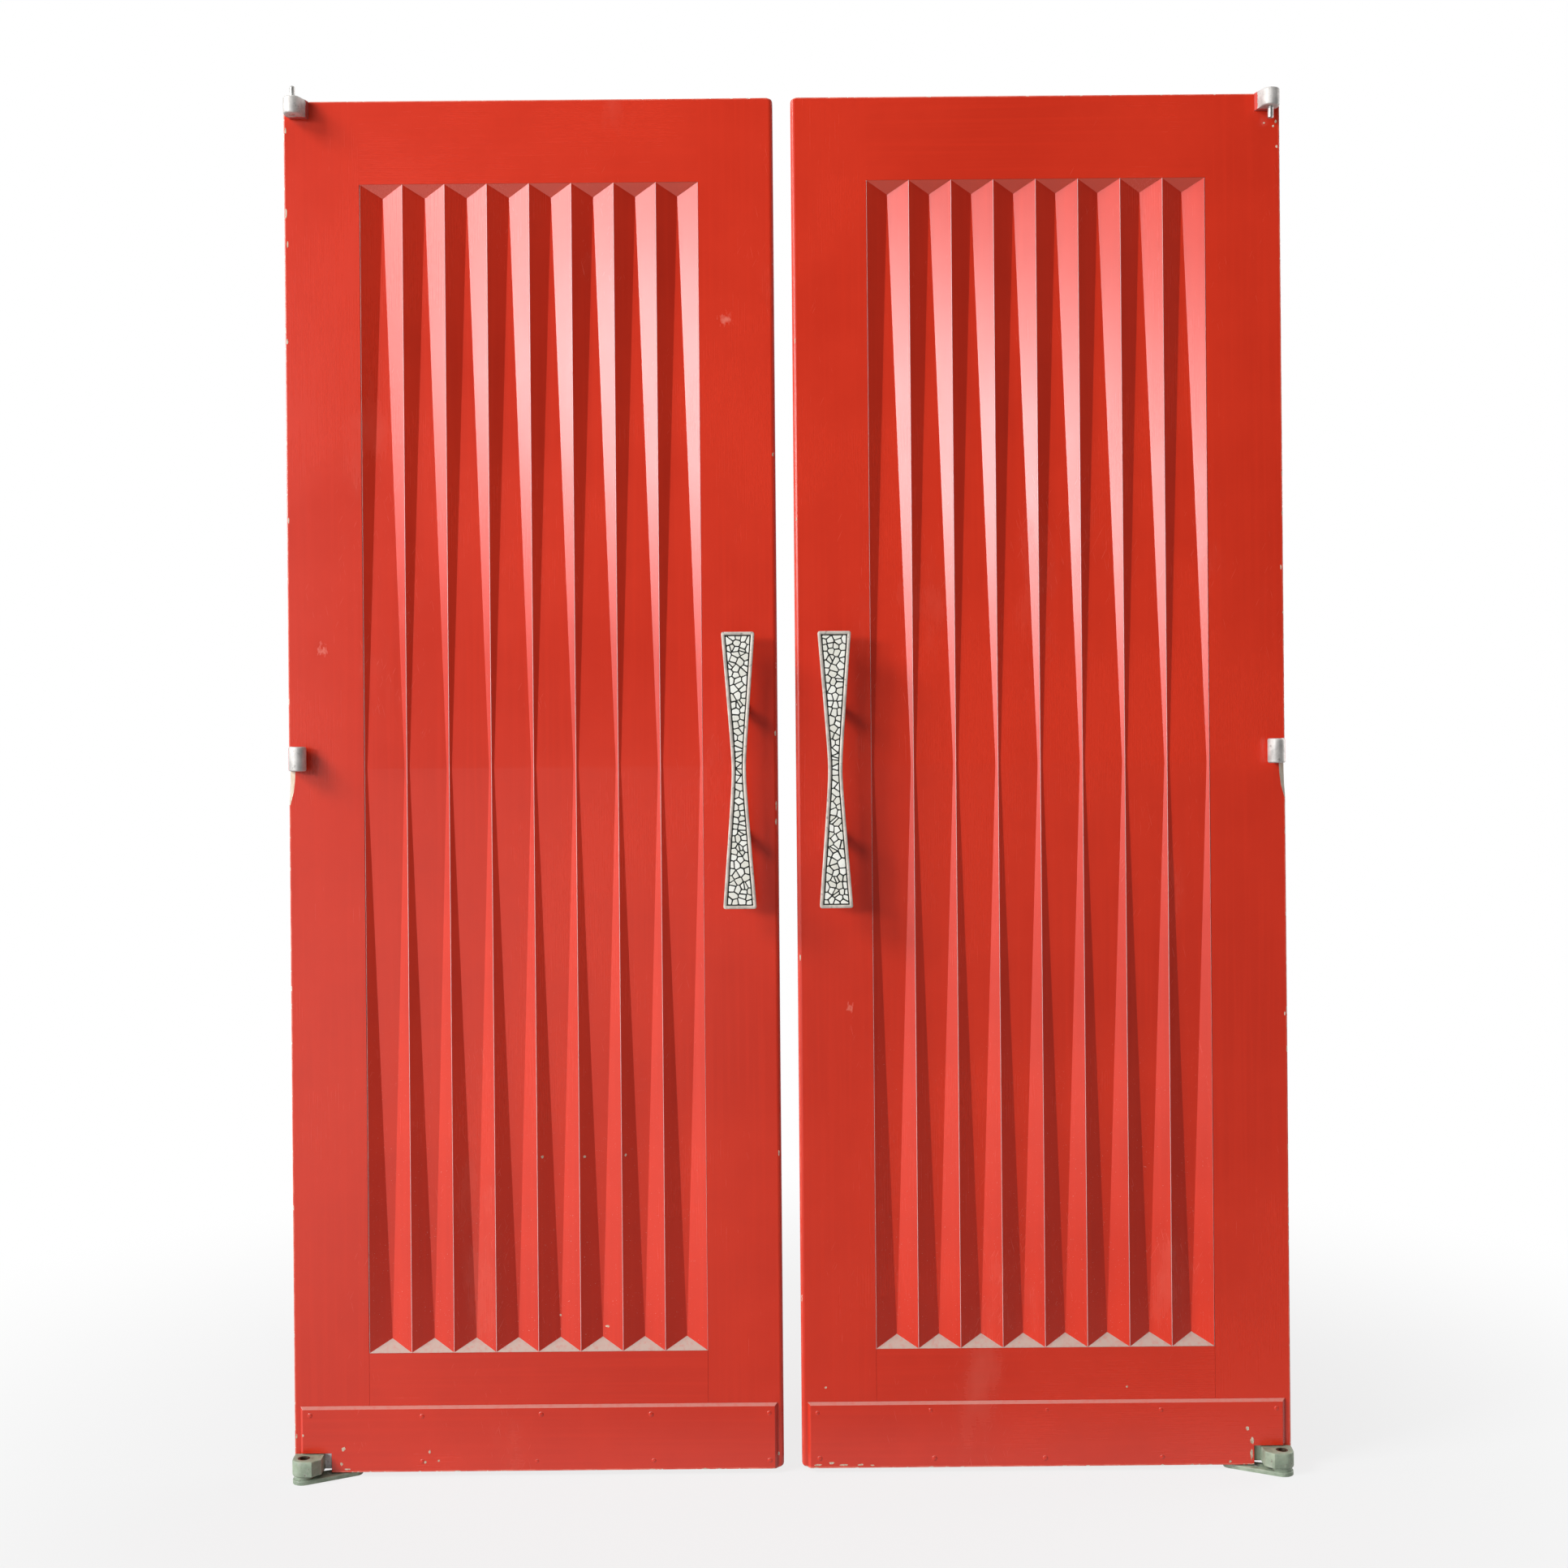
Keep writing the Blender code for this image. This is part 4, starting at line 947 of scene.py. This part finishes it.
chip_sockets = {"Height": "Float", "Rise": "Float", "Ease": "Float", "Seed": "Int", "Finish": "Material"}
chip_tree, chip_sizes = new_tree("stone_chips", **chip_sockets)
lot = drawn(chip_tree, chip_sizes["Seed"])
toned = {"Geometry": chip_sizes["Mesh"], "Name": "chip_tone", "Value": lot}
toned = result(chip_tree, "GeometryNodeStoreNamedAttribute", toned, data_type="FLOAT", domain="FACE")
uneven = times(chip_tree, chip_sizes["Height"], between(chip_tree, lot, 0.0, 1.0, 0.8, 1.25))
chips, tops = toned, True
for rise in (uneven, chip_sizes["Rise"]):
    lifted = {"Mesh": chips, "Selection": tops, "Offset": (0, -1, 0), "Offset Scale": rise}
    chips, tops = add(chip_tree, "GeometryNodeExtrudeMesh", lifted, mode="FACES").outputs[:2]
eased = {"Geometry": chips, "Selection": tops, "Scale": chip_sizes["Ease"]}
eased = result(chip_tree, "GeometryNodeScaleElements", eased, domain="FACE")
joined = add(chip_tree, "GeometryNodeJoinGeometry", {0: eased})
chip_tree.links.new(result(chip_tree, "GeometryNodeFlipFaces", {"Mesh": toned}), joined.inputs[0])
closed = {"Geometry": joined.outputs[0], "Distance": 0.00001}
closed = result(chip_tree, "GeometryNodeMergeByDistance", closed)
close_tree(chip_tree, closed, chip_sizes["Finish"])

stone = pale_stone()
grout = dark_grout()
for seed, leaf in enumerate(leaves):
    node = leaf + "_pull_mosaic"
    low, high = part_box(node)
    start = Vector(((low.x + high.x) / 2, low.y + chip_height + chip_sink, (low.z + high.z) / 2))
    outlines = chip_outlines(random.Random(seed + chip_seed))
    corners = [corner + start for outline in outlines for corner in outline]
    faces = []
    for outline in outlines:
        first = sum(len(face) for face in faces)
        faces.append(tuple(range(first, first + len(outline))))
    flats = plain_mesh("chip_outlines", corners, faces)
    mesh = grown(chip_tree, flats, Height=chip_height + chip_sink - chip_face_drop, Rise=chip_ease_rise,
                 Ease=chip_ease_scale, Seed=seed + tone_seed, Finish=stone)
    as_piece(leaf + "_stone_chips", mesh, leaf + "_leaf", "mosaic")
    # The grout bed keeps the CAD bed's outline and stops short of the chips' faces.
    bed = merged_copy(node)
    bed_back = max(corner.co.y for corner in bed.verts)
    outline = next(face for face in bed.faces
                   if all(abs(corner.co.y - bed_back) < on_plane for corner in face.verts))
    rim = [corner.co.copy() for corner in outline.verts]
    bed.free()
    bed = bmesh.new()
    skin_over(bed, (rim, [corner - Vector((0, grout_depth, 0)) for corner in rim]))
    mesh = mesh_of(bed, leaf + "_grout_bed", grout)
    as_piece(leaf + "_grout_bed", mesh, leaf + "_leaf", "mosaic", node)

# Studio: a pale floor running far back, a pale room that is dim behind the camera, and large soft lamps.
# The main lamp stands far off on the left, where the flute walls that face it throw its light back.
floor_reach = 40.0
floor_pale = 0.46
ambient = 0.045
dim_side = 0.08
room_level = 0.75


def seen_directly(tree):
    """Which rays come from the camera, and which are mirrored or let through by a surface."""
    rays = add(tree, "ShaderNodeLightPath").outputs
    mirrored = maths(tree, "MAXIMUM", rays["Is Glossy Ray"], rays["Is Transmission Ray"])
    return rays["Is Camera Ray"], mirrored


floor_corners = [(a * floor_reach, b * floor_reach, 0) for a, b in ((-1, -1), (1, -1), (1, 1), (-1, 1))]
floor_mesh = plain_mesh("studio_floor", floor_corners, [(0, 1, 2, 3)])
floor = put("studio_floor", floor_mesh)
floor_paint, tree, shader, place = new_finish("studio_floor")
shader.inputs["Base Color"].default_value = (floor_pale, floor_pale, floor_pale, 1)
shader.inputs["Roughness"].default_value = 0.9
camera_ray, mirrored = seen_directly(tree)
away = add(tree, "ShaderNodeVectorMath", {0: place}, operation="LENGTH").outputs["Value"]
seen = maths(tree, "MAXIMUM", camera_ray, mirrored)
glow = times(tree, seen, between(tree, away, 0.7, 2.2, 0.80, 1.0))
# Mirrored in the paint, the floor before the doors falls off to the right, away from the lamps.
axes = axes_of(tree, place)
to_the_right = between(tree, axes[0], -1.4, 0.3, 0.0, 0.85)
falling = times(tree, to_the_right, between(tree, axes[1], -0.4, 0.0, 1.0, 0.0))
level = maths(tree, "MAXIMUM", camera_ray, maths(tree, "SUBTRACT", 1.0, falling))
white = result(tree, "ShaderNodeEmission", {"Color": (1, 1, 1, 1), "Strength": level})
blend = result(tree, "ShaderNodeMixShader", {0: glow, 1: shader.outputs[0], 2: white})
tree.links.new(blend, tree.nodes["Material Output"].inputs[0])
floor_mesh.materials.append(floor_paint)

room = bpy.data.worlds.new("studio_room")
room.use_nodes = True
bpy.context.scene.world = room
tree = room.node_tree
camera_ray, mirrored = seen_directly(tree)
way = axes_of(tree, add(tree, "ShaderNodeTexCoord").outputs["Generated"])
walls = between(tree, way["Y"], -0.45, -0.25, dim_side, room_level)
strength = maths(tree, "MAXIMUM", camera_ray, times(tree, mirrored, walls))
strength = maths(tree, "MAXIMUM", strength, ambient)
background = tree.nodes["Background"]
background.inputs["Color"].default_value = (1, 1, 1, 1)
tree.links.new(strength, background.inputs["Strength"])


def soft_lamp(name, place, aim, size, watts, tint=(1, 1, 1)):
    lamp = bpy.data.lights.new(name, "AREA")
    lamp.shape = "RECTANGLE"
    lamp.size, lamp.size_y = size
    lamp.energy = watts
    lamp.color = tint
    made = put(name, lamp)
    made.location = place
    made.rotation_euler = (Vector(aim) - Vector(place)).to_track_quat("-Z", "Y").to_euler()
    return made


main_lamp = soft_lamp("main_lamp", (-8.62, -9.05, 3.6), (0, 0, 1.3), (6.6, 1.8), 900, (0.93, 0.97, 1.0))
main_lamp.rotation_euler.rotate_axis("Z", math.radians(-14))
soft_lamp("high_lamp", (-10.55, -5.15, 8.6), (0, 0, 1.0), (5.0, 4.4), 1720)
soft_lamp("top_lamp", (0.4, -1.6, 5.0), (0, 0, 0.8), (3.6, 1.6), 24)
soft_lamp("back_lamp", (7.5, 4.2, 2.6), (0, 0, 1.0), (6.0, 4.0), 450)

# Camera: square on to the pair at chest height, rolled a little.
# The frame is dropped to take in the foot.
camera_data = bpy.data.cameras.new("camera")
camera_data.sensor_width = 36
camera_data.lens = 42.73
camera_data.shift_y = -0.0264
camera = put("camera", camera_data)
camera.location = (-0.0044, -2.90, 1.137)
camera.rotation_euler = (math.radians(90), 0, 0)
camera.rotation_euler.rotate_axis("Z", math.radians(-0.5))
bpy.context.scene.camera = camera
bpy.context.scene.view_settings.view_transform = "Standard"
